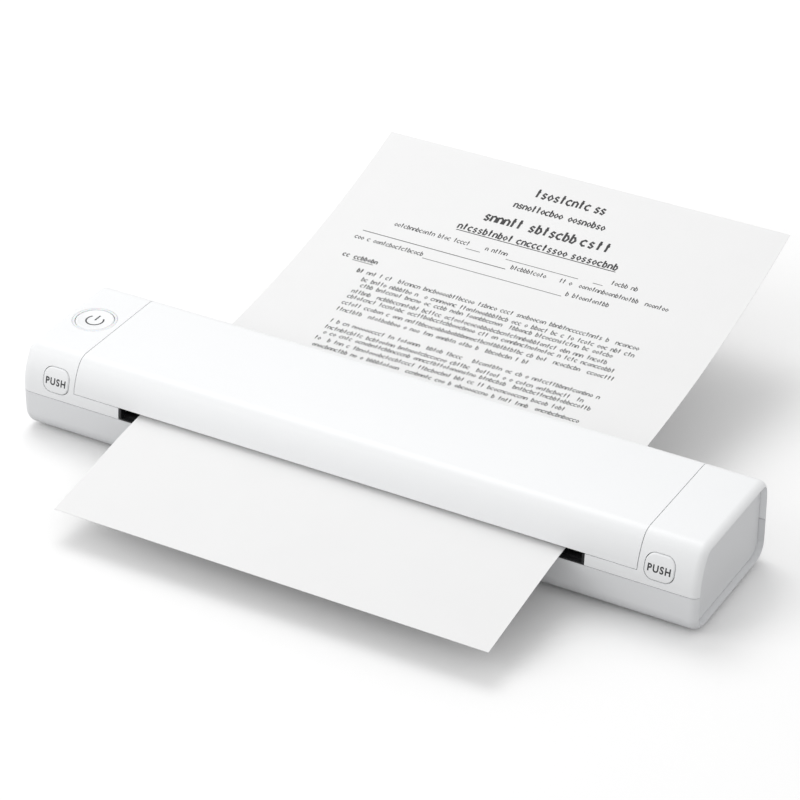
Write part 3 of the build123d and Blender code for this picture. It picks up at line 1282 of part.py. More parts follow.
# ---------------------------------------------------------------- build and export
PUSH_RIGHT, LATCH_RIGHT, LATCH_SPRING_RIGHT = push_button(), latch_slider(), latch_spring()
PIECES = {
    "lower_shell": lower_shell(),
    "upper_shell": upper_shell(),
    "case_screws": case_screws(),
    "paper_guide_front": paper_guide_front(),
    "paper_guide_rear": paper_guide_rear(),
    "paper_sensor": paper_sensor(),
    "motor_bracket": motor_bracket(),
    "stepper_motor": stepper_motor(),
    "idler_post": idler_post(),
    "battery_pack": battery_pack(),
    "main_board": main_board(),
    "board_parts": board_parts(),
    "usb_c_port": usb_c_port(),
    "switch_board": switch_board(),
    "tact_switch": tact_switch(),
    "light_ring": light_ring(),
    "top_cover": top_cover(),
    "cover_guide_front": cover_guide(UPPER_FRONT_Y),
    "cover_guide_rear": cover_guide(UPPER_REAR_Y),
    "thermal_head": thermal_head(),
    "heat_sink": heat_sink(),
    "platen_shaft": platen_shaft(),
    "platen_rubber": platen_rubber(),
    "platen_gear": platen_gear(),
    "idler_gear": idler_gear(),
    "motor_shaft": motor_shaft(),
    "motor_pinion": motor_pinion(),
    "power_button": power_button(),
    "paper_sheet": paper_sheet(),
    "push_button_right": PUSH_RIGHT,
    "latch_right": LATCH_RIGHT,
    "latch_spring_right": LATCH_SPRING_RIGHT,
    "push_button_left": mirror(PUSH_RIGHT, about=Plane.YZ),
    "latch_left": mirror(LATCH_RIGHT, about=Plane.YZ),
    "latch_spring_left": mirror(LATCH_SPRING_RIGHT, about=Plane.YZ),
}
for number, spring_x in enumerate(HEAD_SPRINGS, start=1):
    PIECES[f"head_spring_{number}"] = head_spring(spring_x)
for side, name in zip(SIDES, ("right", "left")):
    PIECES[f"side_frame_{name}"] = side_frame(side)
    PIECES[f"platen_bush_{name}"] = platen_bush(side)
    PIECES[f"hinge_pin_{name}"] = hinge_pin(side)
    PIECES[f"end_plate_{name}"] = end_plate(side)
    for y, place in ((-FOOT_Y, "front"), (FOOT_Y, "rear")):
        PIECES[f"foot_{place}_{name}"] = rubber_foot(side * FOOT_X, y)

os.makedirs("parts", exist_ok=True)
for label, piece in PIECES.items():
    piece.label = label
    export_step(piece, f"parts/{label}.step")
print(len(PIECES), "pieces written")
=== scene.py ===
# %% [markdown]
# # A portable A4 thermal printer
# This lesson dresses a finished CAD model of a slim printer. The case is white moulded ABS in two
# shells, with a full-length cover between two end blocks. Behind the cover lie a rubber platen
# roller, a ceramic print head on an aluminium bar, plastic gears and a small stepper motor, and a
# sheet of coated paper is half way through. The CAD model fixes every place and size. Blender adds
# the finish: softened edges, the grain of each material, the legends and the printed page.

import json
import math

import bmesh
import bpy
from mathutils import Matrix, Vector
from mathutils.bvhtree import BVHTree

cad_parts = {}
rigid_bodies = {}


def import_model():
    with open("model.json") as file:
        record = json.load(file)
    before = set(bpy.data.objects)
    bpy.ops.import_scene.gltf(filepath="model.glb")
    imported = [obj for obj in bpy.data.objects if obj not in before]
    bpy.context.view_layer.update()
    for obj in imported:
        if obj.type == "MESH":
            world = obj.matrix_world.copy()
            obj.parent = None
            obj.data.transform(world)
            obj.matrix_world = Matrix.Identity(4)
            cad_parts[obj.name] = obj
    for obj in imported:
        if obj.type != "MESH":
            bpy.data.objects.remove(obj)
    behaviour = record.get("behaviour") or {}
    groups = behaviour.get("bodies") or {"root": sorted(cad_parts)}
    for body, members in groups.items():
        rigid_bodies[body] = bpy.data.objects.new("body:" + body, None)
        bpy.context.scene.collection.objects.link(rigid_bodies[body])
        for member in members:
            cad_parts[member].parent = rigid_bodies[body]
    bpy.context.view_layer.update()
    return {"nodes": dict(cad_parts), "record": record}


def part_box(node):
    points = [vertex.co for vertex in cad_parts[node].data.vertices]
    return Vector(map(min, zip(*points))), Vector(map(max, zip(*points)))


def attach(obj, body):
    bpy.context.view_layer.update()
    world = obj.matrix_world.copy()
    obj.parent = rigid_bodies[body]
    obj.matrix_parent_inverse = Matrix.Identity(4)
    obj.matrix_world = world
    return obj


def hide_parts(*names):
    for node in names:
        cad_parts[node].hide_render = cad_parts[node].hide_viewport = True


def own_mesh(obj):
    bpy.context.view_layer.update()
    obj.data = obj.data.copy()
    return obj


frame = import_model()
MM = 0.001
SCENE = bpy.context.scene

# %% [markdown]
# ## Camera
# A product shot of a long, low object is taken from far away with a long lens, so that its edges
# stay nearly parallel. A camera could be turned by three Euler angles, but two are easier to read:
# how far round it stands from the front, and how far down it looks. They give the direction away
# from the object, and a quaternion then points the lens back along it.

# %% Camera
CAMERA_AZIMUTH = math.radians(29.42)
CAMERA_ELEVATION = math.radians(31.88)
CAMERA_PLACE = Vector((593.0, -1037.1, 789.7)) * MM
CAMERA_LENS = 147.0
CAMERA_SENSOR = 36.0

away = Vector((
    math.sin(CAMERA_AZIMUTH) * math.cos(CAMERA_ELEVATION),
    -math.cos(CAMERA_AZIMUTH) * math.cos(CAMERA_ELEVATION),
    math.sin(CAMERA_ELEVATION),
))
camera_data = bpy.data.cameras.new("camera")
camera_data.lens = CAMERA_LENS
camera_data.sensor_width = CAMERA_SENSOR
camera = bpy.data.objects.new("camera", camera_data)
camera.location = CAMERA_PLACE
camera.rotation_mode = "QUATERNION"
camera.rotation_quaternion = (-away).to_track_quat("-Z", "Y")
SCENE.collection.objects.link(camera)
SCENE.camera = camera
print("camera at", [round(v, 3) for v in camera.location])


# %% [markdown]
# ## Helpers
# Colours are written as the sRGB hex values that a painter would name, and one function turns them
# into the linear values that the shader needs. A second function adds a node to any tree, sets its
# properties and plugs its inputs, so that a whole tree reads as a list. Inputs are named by number
# where a node has several with one name.

# %% Colour and node helpers
PURE_WHITE = "FFFFFF"


def linear(hex_colour):
    """The linear RGBA of an sRGB hex colour such as E8E9EA."""
    channels = [int(hex_colour[i:i + 2], 16) / 255 for i in (0, 2, 4)]
    curve = [c / 12.92 if c <= 0.04045 else ((c + 0.055) / 1.055) ** 2.4 for c in channels]
    return (*curve, 1.0)


def add_node(tree, kind, inputs=None, **settings):
    """Add a node, set its properties, then give each input a value or a link from a socket."""
    made = tree.nodes.new(kind)
    for name, value in settings.items():
        setattr(made, name, value)
    for name, value in (inputs or {}).items():
        if isinstance(value, bpy.types.NodeSocket):
            tree.links.new(value, made.inputs[name])
        else:
            made.inputs[name].default_value = value
    return made


print("pure white in linear values:", linear(PURE_WHITE))

# %% [markdown]
# ## Materials
# Every material starts the same way: object coordinates, a coarse pattern that varies the colour a
# little, and a fine pattern that breaks up the gloss and the surface. What differs is the colour,
# the size of each pattern in millimetres, and how strongly it shows. A pattern that follows a
# machining direction is stretched along it. Blender's noise keeps near its middle value, so only
# the middle of its range is spread over the range of the gloss.

# %% The base of every finish
PATCH_DETAIL, PATCH_ROUGHNESS = 3.0, 0.55
GRAIN_DETAIL, GRAIN_ROUGHNESS = 2.0, 0.6
GRAIN_LOW, GRAIN_HIGH = 0.3, 0.7


def finish(name, colours, gloss, grain, relief, patch=30.0, stretch=(1, 1, 1), **sockets):
    """A procedural material, with every size in millimetres.

    colours are the two ends of the colour patches and gloss the two ends of the roughness; grain is
    the size of the fine pattern, relief its height and patch the size of the colour patches.
    """
    material = bpy.data.materials.new(name)
    material.use_nodes = True
    tree = material.node_tree
    shader = tree.nodes["Principled BSDF"]
    for socket, value in sockets.items():
        shader.inputs[socket.replace("_", " ")].default_value = value
    place = add_node(tree, "ShaderNodeTexCoord").outputs["Object"]
    along = add_node(tree, "ShaderNodeMapping", {"Vector": place, "Scale": stretch}).outputs[0]
    patches = add_node(tree, "ShaderNodeTexNoise", {
        "Vector": place, "Scale": 1 / (patch * MM), "Detail": PATCH_DETAIL,
        "Roughness": PATCH_ROUGHNESS})
    tint = add_node(tree, "ShaderNodeMix", {
        0: patches.outputs[0], 6: linear(colours[0]), 7: linear(colours[1])}, data_type="RGBA")
    grains = add_node(tree, "ShaderNodeTexNoise", {
        "Vector": along, "Scale": 1 / (grain * MM), "Detail": GRAIN_DETAIL,
        "Roughness": GRAIN_ROUGHNESS})
    sheen = add_node(tree, "ShaderNodeMapRange", {
        "Value": grains.outputs[0], "From Min": GRAIN_LOW, "From Max": GRAIN_HIGH,
        "To Min": gloss[0], "To Max": gloss[1]})
    bump = add_node(tree, "ShaderNodeBump", {
        "Height": grains.outputs[0], "Strength": 1.0, "Distance": relief * MM})
    tree.links.new(tint.outputs[2], shader.inputs["Base Color"])
    tree.links.new(sheen.outputs[0], shader.inputs["Roughness"])
    tree.links.new(bump.outputs[0], shader.inputs["Normal"])
    return material


print("the gloss follows the grain from", GRAIN_LOW, "to", GRAIN_HIGH)

# %% [markdown]
# ## The white case
# The shells are injection-moulded ABS from a tool with a fine spark-eroded face. That gives a
# satin white with a soft, broad highlight and a grain that is felt more than seen. The real grain
# is about 0.1 mm, too fine to show, so it is drawn at 0.5 mm and very shallow. The lower shell and
# the end plates are the same white ABS, painted a hair greyer as painted shade. The ring round the
# power button lets light through, so it is milky polycarbonate, which scatters the light a little
# below its surface.

# %% Case plastics
CASE_IOR = 1.53
MATERIALS = {
    "upper_case": finish(
        "white_abs_spark_eroded", ("F3F4F5", "F0F1F2"), (0.34, 0.44), 0.5, 0.004, patch=60.0,
        IOR=CASE_IOR),
    # Painted shade: the lower shell and the end plates get a greyer white than the upper shell,
    # standing in for the shade they lie in.
    "lower_case": finish(
        "white_abs_greyed_as_painted_shade", ("E6E7E8", "E2E3E5"), (0.40, 0.50), 0.5, 0.004, patch=60.0,
        IOR=CASE_IOR),
    "ring": finish(
        "milky_polycarbonate_moulded", ("ECEDEF", "E8E9EB"), (0.18, 0.28), 0.8, 0.001, patch=12.0,
        IOR=1.58, Subsurface_Weight=0.2, Subsurface_Scale=0.002),
}
print("case finishes:", list(MATERIALS))

# %% [markdown]
# ## Inside the printer
# Each of these is seen only through the slot, with the cover open or from the underside, and each
# has the look of how it was made: black guides straight from the mould, ground rubber with fine
# marks round the roller, gears in milky acetal, glazed ceramic, dull epoxy on the components, glossy
# shrink film round the battery, and circuit boards under a green lacquer. The real marks of grinding
# and the grain of a mould are finer than this, and are drawn as coarse as they need to show.

# %% Finishes inside: plastics, rubber and ceramic
MATERIALS |= {
    "guides": finish(
        "black_abs_moulded", ("17181A", "1D1E20"), (0.40, 0.55), 0.6, 0.006, IOR=CASE_IOR),
    "rubber": finish(
        "silicone_rubber_ground", ("2B2C2E", "333436"), (0.62, 0.78), 0.25, 0.01,
        stretch=(8, 1, 1), IOR=1.41),
    "gear_plastic": finish(
        "natural_acetal_moulded", ("EFEEE8", "E6E4DC"), (0.26, 0.36), 0.5, 0.002, patch=8.0,
        IOR=1.48, Subsurface_Weight=0.15, Subsurface_Scale=0.002),
    "ceramic": finish(
        "alumina_glazed", ("E4E0D2", "D9D4C4"), (0.08, 0.18), 1.0, 0.001, patch=15.0, IOR=1.76),
    "components": finish(
        "black_epoxy_moulded", ("1B1C1D", "242526"), (0.45, 0.60), 0.3, 0.005, patch=3.0, IOR=1.55),
    "battery_wrap": finish(
        "shrink_film_blue", ("1F4E8C", "1A4278"), (0.14, 0.30), 6.0, 0.05, patch=14.0, IOR=1.5),
    "board": finish(
        "glass_epoxy_green_lacquer", ("1C5A35", "16482B"), (0.22, 0.34), 0.8, 0.003, patch=4.0,
        IOR=1.5),
}
print("finishes:", len(MATERIALS))

# %% [markdown]
# ## Metals
# A bare metal gets its colour from its reflection, so it is fully metallic and keeps the default
# index of refraction. How it was made shows in the direction of its scratches: ground steel has
# them around the shaft, an extruded bar has them along its length, and rolled zinc has soft spangles.
# Sintered bronze is slightly porous, so its gloss is broken up into fine spots. Scratches and pores
# are a few hundredths of a millimetre wide, and are drawn several times as coarse to show at all.

# %% Finishes inside: metals
MATERIALS |= {
    "steel": finish(
        "bearing_steel_ground", ("A9ABAD", "9C9EA1"), (0.16, 0.30), 0.3, 0.001,
        stretch=(10, 1, 1), Metallic=1.0),
    "spring_steel": finish(
        "spring_wire_drawn", ("96989A", "7F8183"), (0.22, 0.36), 0.3, 0.002, Metallic=1.0),
    "sheet_steel": finish(
        "zinc_plated_sheet_rolled", ("B9BDC1", "A7ACB2"), (0.26, 0.42), 1.2, 0.003, patch=5.0,
        Metallic=1.0),
    "plated_steel": finish(
        "nickel_plated_drawn", ("C9C7C0", "B8B6AE"), (0.12, 0.24), 0.8, 0.001, patch=4.0,
        Metallic=1.0),
    "bronze": finish(
        "bronze_sintered", ("A8814B", "8E6A3A"), (0.32, 0.50), 0.15, 0.01, patch=3.0, Metallic=1.0),
    "aluminium": finish(
        "aluminium_extruded", ("C6C8CA", "B5B8BB"), (0.24, 0.40), 0.2, 0.002,
        stretch=(0.02, 1, 1), Metallic=1.0),
}
print("finishes:", len(MATERIALS))

# %% [markdown]
# ## Paper and inks
# The sheet is thermal paper: a smooth coat that turns black where the head heats it, so the printed
# letters lie in the coat and shine as little as the sheet. Its fibres are too fine to show, so its
# grain is drawn at 0.4 mm. The legends on the buttons are pad printed in a dark grey ink with a
# slight gloss, a film a few hundredths of a millimetre thick on top of the plastic.

# %% Paper and ink finishes
MATERIALS["paper"] = finish(
    "thermal_paper_coated", ("ECECEC", "E9E9E9"), (0.52, 0.66), 0.4, 0.003, patch=25.0, IOR=1.5)
THERMAL_BLACK = finish(
    "thermal_coat_blackened", ("101012", "1A1A1C"), (0.50, 0.62), 0.3, 0.001, patch=6.0, IOR=1.5)
LEGEND_INK = finish(
    "pad_printed_grey_ink", ("2A2B2D", "333436"), (0.30, 0.42), 0.3, 0.001, patch=4.0, IOR=1.5)
print("inks:", THERMAL_BLACK.name, LEGEND_INK.name)


# %% [markdown]
# ## Dressing the CAD nodes
# The moulded parts get what a mould always leaves: a small radius on each outer edge, which catches
# a line of light. The visible nodes are copied, welded and shaded smooth up to a fold angle, so that
# the CAD nodes themselves stay as they are. Triangles that lie in one plane are joined first,
# because their borders are no real edges and would break the shading.

# %% A welded copy of a CAD node
record = frame["record"]
SLOT_OF = {part["node"]: part["material_slot"] for part in record["subparts"]}
BODY_OF = {node: body for body, nodes in record["behaviour"]["bodies"].items() for node in nodes}
WELD = 0.002 * MM
FLAT = math.radians(0.5)
FOLD = math.radians(28)


def welded_copy(node):
    """A copy of a CAD node's mesh with its loose triangles joined and its sharp folds marked."""
    shape = bmesh.new()
    shape.from_mesh(frame["nodes"][node].data)
    bmesh.ops.remove_doubles(shape, verts=shape.verts, dist=WELD)
    bmesh.ops.dissolve_limit(
        shape, angle_limit=FLAT, verts=shape.verts, edges=shape.edges, delimit={"NORMAL"})
    for edge in shape.edges:
        edge.smooth = len(edge.link_faces) == 2 and edge.calc_face_angle(math.pi) < FOLD
    for face in shape.faces:
        face.smooth = True
    mesh = bpy.data.meshes.new(node)
    shape.to_mesh(mesh)
    shape.free()
    return mesh


print("body of the top cover:", BODY_OF["top_cover"])

# %% [markdown]
# A Bevel that only acts on folds rounds the real edges, each by the radius in millimetres that its
# mould would have. Modelled fillets would do it too, but they would have to follow every opening.
# The inner parts keep their CAD mesh and only get a finish.

# %% Soft edges and finishes
SOFTENED = {
    "upper_shell": 0.25, "lower_shell": 0.25, "top_cover": 0.15, "push_button_right": 0.2,
    "push_button_left": 0.2, "power_button": 0.15, "light_ring": 0.1, "end_plate_right": 0.2,
    "end_plate_left": 0.2,
}
BEVEL_SEGMENTS = 2

for node, radius in SOFTENED.items():
    piece = bpy.data.objects.new(node + "_dressed", welded_copy(node))
    SCENE.collection.objects.link(piece)
    piece.data.materials.append(MATERIALS[SLOT_OF[node]])
    soften = piece.modifiers.new("softened_edges", "BEVEL")
    soften.width = radius * MM
    soften.segments = BEVEL_SEGMENTS
    soften.limit_method = "ANGLE"
    soften.angle_limit = FOLD
    soften.harden_normals = True
    soften.use_clamp_overlap = True
    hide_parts(node)
    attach(piece, BODY_OF[node])

for node, item in frame["nodes"].items():
    if node not in SOFTENED:
        item.data.materials.clear()
        item.data.materials.append(MATERIALS[SLOT_OF[node]])
print("dressed:", len(SOFTENED), "of", len(frame["nodes"]))

# %% [markdown]
# ## Small fasteners
# Screws are bought parts that repeat, so one is modelled and Geometry Nodes puts a copy on each
# point of a list. A cross recess is pressed into each head. The screws that close the case sit head
# down in wells of the underside, and the ones inside hold the side frames and the circuit board.
# A screw could be a turned profile with a boolean cut, but a mesh of a few rings stays clean. All
# its sizes are parts of the radius of the head, so that one mesh serves every size of screw.

# %% Rings and walls of a screw
HEAD_SIDES = 24
RECESS_REACH, RECESS_HALF, RECESS_DEPTH = 0.55, 0.13, 0.42


def ring_of_points(shape, radius, height):
    """The corners of one level round the head."""
    angles = [math.tau * n / HEAD_SIDES for n in range(HEAD_SIDES)]
    return [shape.verts.new((radius * math.cos(a), radius * math.sin(a), height)) for a in angles]


def cross_outline(shape, height):
    """The twelve corners of the recess at one height."""
    wide, thin = RECESS_REACH, RECESS_HALF
    quarter = ((wide, -thin), (wide, thin), (thin, thin))
    corners = []
    for turn in range(4):
        spin = Matrix.Rotation(turn * math.pi / 2, 2)
        corners += [spin @ Vector(corner) for corner in quarter]
    return [shape.verts.new((x, y, height)) for x, y in corners]


def wall_between(shape, low, high):
    """Join two rings with the same number of corners by a band of faces."""
    for n, corner in enumerate(low):
        after = (n + 1) % len(low)
        shape.faces.new((corner, low[after], high[after], high[n]))


print("sides of a head:", HEAD_SIDES)

# %% [markdown]
# The head is a short drum with a sloped shoulder. The flat face round the recess has a hole in it,
# so it is filled between its two borders, and the recess itself is a wall down to a small floor.

# %% One cross-head screw
HEAD_PROFILE = ((1.0, 0.0), (1.0, 0.42), (0.86, 0.66))


def screw_mesh(name, shank_radius, shank_length):
    """A pan head of radius 1 on the plane z = 0, with its shank below, in units of the radius."""
    shape = bmesh.new()
    levels = [ring_of_points(shape, radius, height) for radius, height in HEAD_PROFILE]
    shank = [ring_of_points(shape, shank_radius, height) for height in (-shank_length, 0)]
    for low, high in zip(levels, levels[1:]):
        wall_between(shape, low, high)
    wall_between(shape, shank[0], shank[1])
    wall_between(shape, shank[1], levels[0])
    shape.faces.new(tuple(reversed(shank[0])))
    top = HEAD_PROFILE[-1][1]
    rim, floor_of_recess = cross_outline(shape, top), cross_outline(shape, top - RECESS_DEPTH)
    wall_between(shape, rim, floor_of_recess)
    shape.faces.new(floor_of_recess)
    border = []
    for loop in (levels[-1], rim):
        for n, corner in enumerate(loop):
            after = loop[(n + 1) % len(loop)]
            border.append(shape.edges.get((corner, after)) or shape.edges.new((corner, after)))
    bmesh.ops.triangle_fill(shape, edges=border, use_beauty=True, use_dissolve=False)
    bmesh.ops.recalc_face_normals(shape, faces=shape.faces)
    mesh = bpy.data.meshes.new(name)
    shape.to_mesh(mesh)
    shape.free()
    return mesh


sample_screw = screw_mesh("screw_sample", 0.5, 2.0)
print("screw faces:", len(sample_screw.polygons))
bpy.data.meshes.remove(sample_screw)


# %% [markdown]
# ## Growing pieces with Geometry Nodes
# A tree starts from a mesh whose points say where the copies go. Its sizes are named inputs, which
# are set by their identifier. The result is read back as one plain mesh, and the carrier with its
# modifier is removed, so that only an ordinary piece is left.

# %% Tree and piece helpers
def new_tree(name, inputs):
    """A geometry tree with a mesh coming in, a mesh going out and named inputs."""
    tree = bpy.data.node_groups.new(name, "GeometryNodeTree")
    tree.interface.new_socket("Geometry", in_out="INPUT", socket_type="NodeSocketGeometry")
    tree.interface.new_socket("Geometry", in_out="OUTPUT", socket_type="NodeSocketGeometry")
    for label, kind in inputs.items():
        tree.interface.new_socket(label, in_out="INPUT", socket_type=kind)
    return tree


def finished_piece(name, mesh, material, body):
    """Show a mesh as a piece that rides on a body."""
    mesh.materials.clear()
    mesh.materials.append(material)
    piece = bpy.data.objects.new(name, mesh)
    SCENE.collection.objects.link(piece)
    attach(piece, body)
    return piece


def grow(name, tree, start, values, material, body):
    """Run a tree on a start mesh and keep what it makes as a plain piece."""
    carrier = bpy.data.objects.new(name + "_carrier", start)
    SCENE.collection.objects.link(carrier)
    grower = carrier.modifiers.new("grow", "NODES")
    grower.node_group = tree
    for socket in tree.interface.items_tree:
        if socket.name in values:
            grower[socket.identifier] = values[socket.name]
    depsgraph = bpy.context.evaluated_depsgraph_get()
    mesh = bpy.data.meshes.new_from_object(carrier.evaluated_get(depsgraph))
    bpy.data.objects.remove(carrier)
    return finished_piece(name, mesh, material, body)


# %% [markdown]
# ## Where the screws go
# The tree turns each point into one screw: Instance on Points places it, the radius scales it and
# the tilt turns the ones of the underside head down.

# %% Screw tree
screw_tree = new_tree("screws_on_points", {
    "Screw": "NodeSocketObject", "Radius": "NodeSocketFloat", "Tilt": "NodeSocketFloat",
    "Finish": "NodeSocketMaterial"})
given = add_node(screw_tree, "NodeGroupInput").outputs
screw_shape = add_node(screw_tree, "GeometryNodeObjectInfo", {"Object": given["Screw"]})
turned = add_node(screw_tree, "ShaderNodeCombineXYZ", {"X": given["Tilt"]})
copies = add_node(screw_tree, "GeometryNodeInstanceOnPoints", {
    "Points": given["Geometry"], "Instance": screw_shape.outputs["Geometry"],
    "Rotation": turned.outputs[0], "Scale": given["Radius"]})
solid = add_node(screw_tree, "GeometryNodeRealizeInstances", {"Geometry": copies.outputs[0]})
coated = add_node(screw_tree, "GeometryNodeSetMaterial", {
    "Geometry": solid.outputs[0], "Material": given["Finish"]})
add_node(screw_tree, "NodeGroupOutput", {"Geometry": coated.outputs[0]})
print("screw tree nodes:", len(screw_tree.nodes))


def points_mesh(name, places):
    """A mesh of loose points."""
    mesh = bpy.data.meshes.new(name)
    mesh.from_pydata(places, [], [])
    return mesh


def screws(name, places, radius, shank_radius, shank_length, tilt=0.0):
    """Screws with their seats at the given places, in metres, with sizes in millimetres."""
    sample = bpy.data.objects.new(
        name + "_sample", screw_mesh(name, shank_radius / radius, shank_length / radius))
    sizes = {"Screw": sample, "Radius": radius * MM, "Tilt": tilt,
             "Finish": MATERIALS["sheet_steel"]}
    piece = grow(name, screw_tree, points_mesh(name, places), sizes, MATERIALS["sheet_steel"],
                 "base")
    bpy.data.objects.remove(sample)
    return piece


# %% [markdown]
# The two side frames stand on feet with a screw near each end, and four screws hold the circuit
# board near its corners. Their places are worked out from the CAD nodes that they hold. Only a
# short stub of each shank is drawn, because the rest is out of sight in the plastic.

# %% Screws of the side frames and the circuit board
def corners_of(node):
    """The low and the high corner of a CAD node, in metres."""
    low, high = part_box(node)
    return Vector(low), Vector(high)


FRAME_SCREW_INSET, FRAME_SCREW_SPREAD, FRAME_SCREW_SEAT = 3.5 * MM, 13.0 * MM, 5.65 * MM
BOARD_SCREW_INSET, BOARD_SCREW_SPREAD = 9.0 * MM, 6.5 * MM
BOARD_HEAD_RADIUS, FRAME_HEAD_RADIUS, STUB_RADIUS, STUB_LENGTH = 2.0, 2.2, 1.0, 0.2

board_low, board_high = corners_of("main_board")
board_middle = (board_low.y + board_high.y) / 2
board_places = [
    (x, board_middle + y, board_high.z)
    for x in (board_low.x + BOARD_SCREW_INSET, board_high.x - BOARD_SCREW_INSET)
    for y in (-BOARD_SCREW_SPREAD, BOARD_SCREW_SPREAD)]
screws("board_screws", board_places, BOARD_HEAD_RADIUS, STUB_RADIUS, STUB_LENGTH)

frame_places = []
for frame_node in ("side_frame_left", "side_frame_right"):
    low, high = corners_of(frame_node)
    inner = high.x if high.x < 0 else low.x
    foot_x = inner + math.copysign(FRAME_SCREW_INSET, inner)
    frame_places += [
        (foot_x, y, FRAME_SCREW_SEAT) for y in (-FRAME_SCREW_SPREAD, FRAME_SCREW_SPREAD)]
screws("frame_screws", frame_places, FRAME_HEAD_RADIUS, STUB_RADIUS, STUB_LENGTH)
print("inner screws:", len(board_places) + len(frame_places))


# %% [markdown]
# The four screws that close the case are long self-tapping ones. They replace the plain CAD screws
# and keep their size: the heads sit in the wells of the underside, and the shanks reach up into the
# bosses of the upper shell.

# %% Case screws
CASE_HEAD_HEIGHT, CASE_HEAD_RADIUS, CASE_SHANK_RADIUS = 1.6 * MM, 2.4, 1.2

low, high = corners_of("case_screws")
head_seat = low.z + CASE_HEAD_HEIGHT
case_x, edge = high.x - CASE_HEAD_RADIUS * MM, CASE_HEAD_RADIUS * MM
case_places = [(x, y, head_seat) for x in (-case_x, case_x) for y in (low.y + edge, high.y - edge)]
shank = (high.z - head_seat) / MM
case_screws = screws(
    "case_screws_cross_head", case_places, CASE_HEAD_RADIUS, CASE_SHANK_RADIUS, shank, math.pi)
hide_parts("case_screws")
print("case screws:", len(case_places), "shank", round(shank, 2), "mm")

# %% [markdown]
# ## Springs
# A coil spring can't follow a joint as a stiff part does: one end stays on its seat and the other is
# pushed. Each spring here is a copy of its CAD node with its wire shaded round, and it rides on the
# body of that node.

# %% Springs with their wire shaded round
for joint in record["behaviour"]["joints"]:
    for spring in joint.get("deforming_nodes", []):
        node = spring["node"]
        coil = welded_copy(node)
        piece = finished_piece(
            node + "_wound", coil, MATERIALS[SLOT_OF[node]], BODY_OF[node])
        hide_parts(node)
        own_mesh(piece)

# %% [markdown]
# ## Legends on the buttons
# Pad printing lays a thin film of ink on a finished part. An image texture would need a picture and
# a flat map of each button. Here every legend is a flat mesh instead, and rays lay each of its
# points on the face of the button, a little above the plastic.

# %% Pad printing
INK_FILM = 0.03 * MM
RAY_START = 200.0 * MM


def surface_of(node):
    """A CAD node's surface, ready for rays."""
    mesh = frame["nodes"][node].data
    return BVHTree.FromPolygons(
        [corner.co for corner in mesh.vertices], [face.vertices for face in mesh.polygons])


def print_on(node, flat, place, direction):
    """Lay the points of a flat bmesh on a CAD node, along rays that start at place(point)."""
    surface = surface_of(node)
    for corner in flat.verts:
        hit = surface.ray_cast(place(corner.co) - direction * RAY_START, direction)[0]
        corner.co = hit - direction * INK_FILM


def legend_piece(name, flat, body):
    """Keep a printed bmesh as a piece in ink."""
    mesh = bpy.data.meshes.new(name)
    flat.to_mesh(mesh)
    flat.free()
    return finished_piece(name, mesh, LEGEND_INK, body)


print("ink film:", INK_FILM / MM, "mm")

# %% [markdown]
# The two push buttons say in one plain word what to do with them. The word comes from a text object
# in Blender's own typeface, made a little heavier and wider spaced, as small legends are. It is cut
# into short steps from bottom to top, so that it can bend with the face of the button.

# %% The word on the push buttons
WORD_WIDTH, WORD_HEIGHT, WORD_STEPS = 10.4 * MM, 3.3 * MM, 6
WORD_DROP = 0.3 * MM
WORD_WEIGHT, WORD_SPACING = 0.03, 1.22
BUTTON_FLANGE = 1.4 * MM


def word_mesh(word):
    """A word as a flat bmesh round its own middle, in short steps from bottom to top."""
    letters = bpy.data.curves.new("letters", "FONT")
    letters.body = word
    letters.offset = WORD_WEIGHT
    letters.space_character = WORD_SPACING
    text = bpy.data.objects.new("letters", letters)
    SCENE.collection.objects.link(text)
    depsgraph = bpy.context.evaluated_depsgraph_get()
    mesh = bpy.data.meshes.new_from_object(text.evaluated_get(depsgraph))
    bpy.data.objects.remove(text)
    flat = bmesh.new()
    flat.from_mesh(mesh)
    wide = sorted(corner.co.x for corner in flat.verts)
    tall = sorted(corner.co.y for corner in flat.verts)
    for corner in flat.verts:
        corner.co.x = ((corner.co.x - wide[0]) / (wide[-1] - wide[0]) - 0.5) * WORD_WIDTH
        corner.co.y = ((corner.co.y - tall[0]) / (tall[-1] - tall[0]) - 0.5) * WORD_HEIGHT
    for step in range(1, WORD_STEPS):
        height = (step / WORD_STEPS - 0.5) * WORD_HEIGHT
        every = flat.verts[:] + flat.edges[:] + flat.faces[:]
        bmesh.ops.bisect_plane(flat, geom=every, plane_co=(0, height, 0), plane_no=(0, 1, 0))
    return flat


for side, sign in (("right", 1), ("left", -1)):
    button = "push_button_" + side
    low, high = corners_of(button)
    middle_x = (low.x + high.x - sign * BUTTON_FLANGE) / 2
    middle_z = (low.z + high.z + BUTTON_FLANGE) / 2 - WORD_DROP
    word = word_mesh("PUSH")
    print_on(button, word, lambda c: Vector((middle_x + c.x, 0, middle_z + c.y)), Vector((0, 1, 0)))
    legend_piece("push_legend_" + side, word, "push_" + side)
    print("legend at", round(middle_x / MM, 2), round(middle_z / MM, 2))

# %% [markdown]
# The round button has a broken ring and a bar, the usual sign for power. Both are flat lines of one
# width along a path of points, in short steps, so that they follow the dish of the button.

# %% The power symbol
SYMBOL_RADIUS, SYMBOL_LINE, SYMBOL_BAR = 4.0 * MM, 0.75 * MM, 4.6 * MM
SYMBOL_GAP = math.radians(48)
RING_STEPS, BAR_STEPS = 40, 4


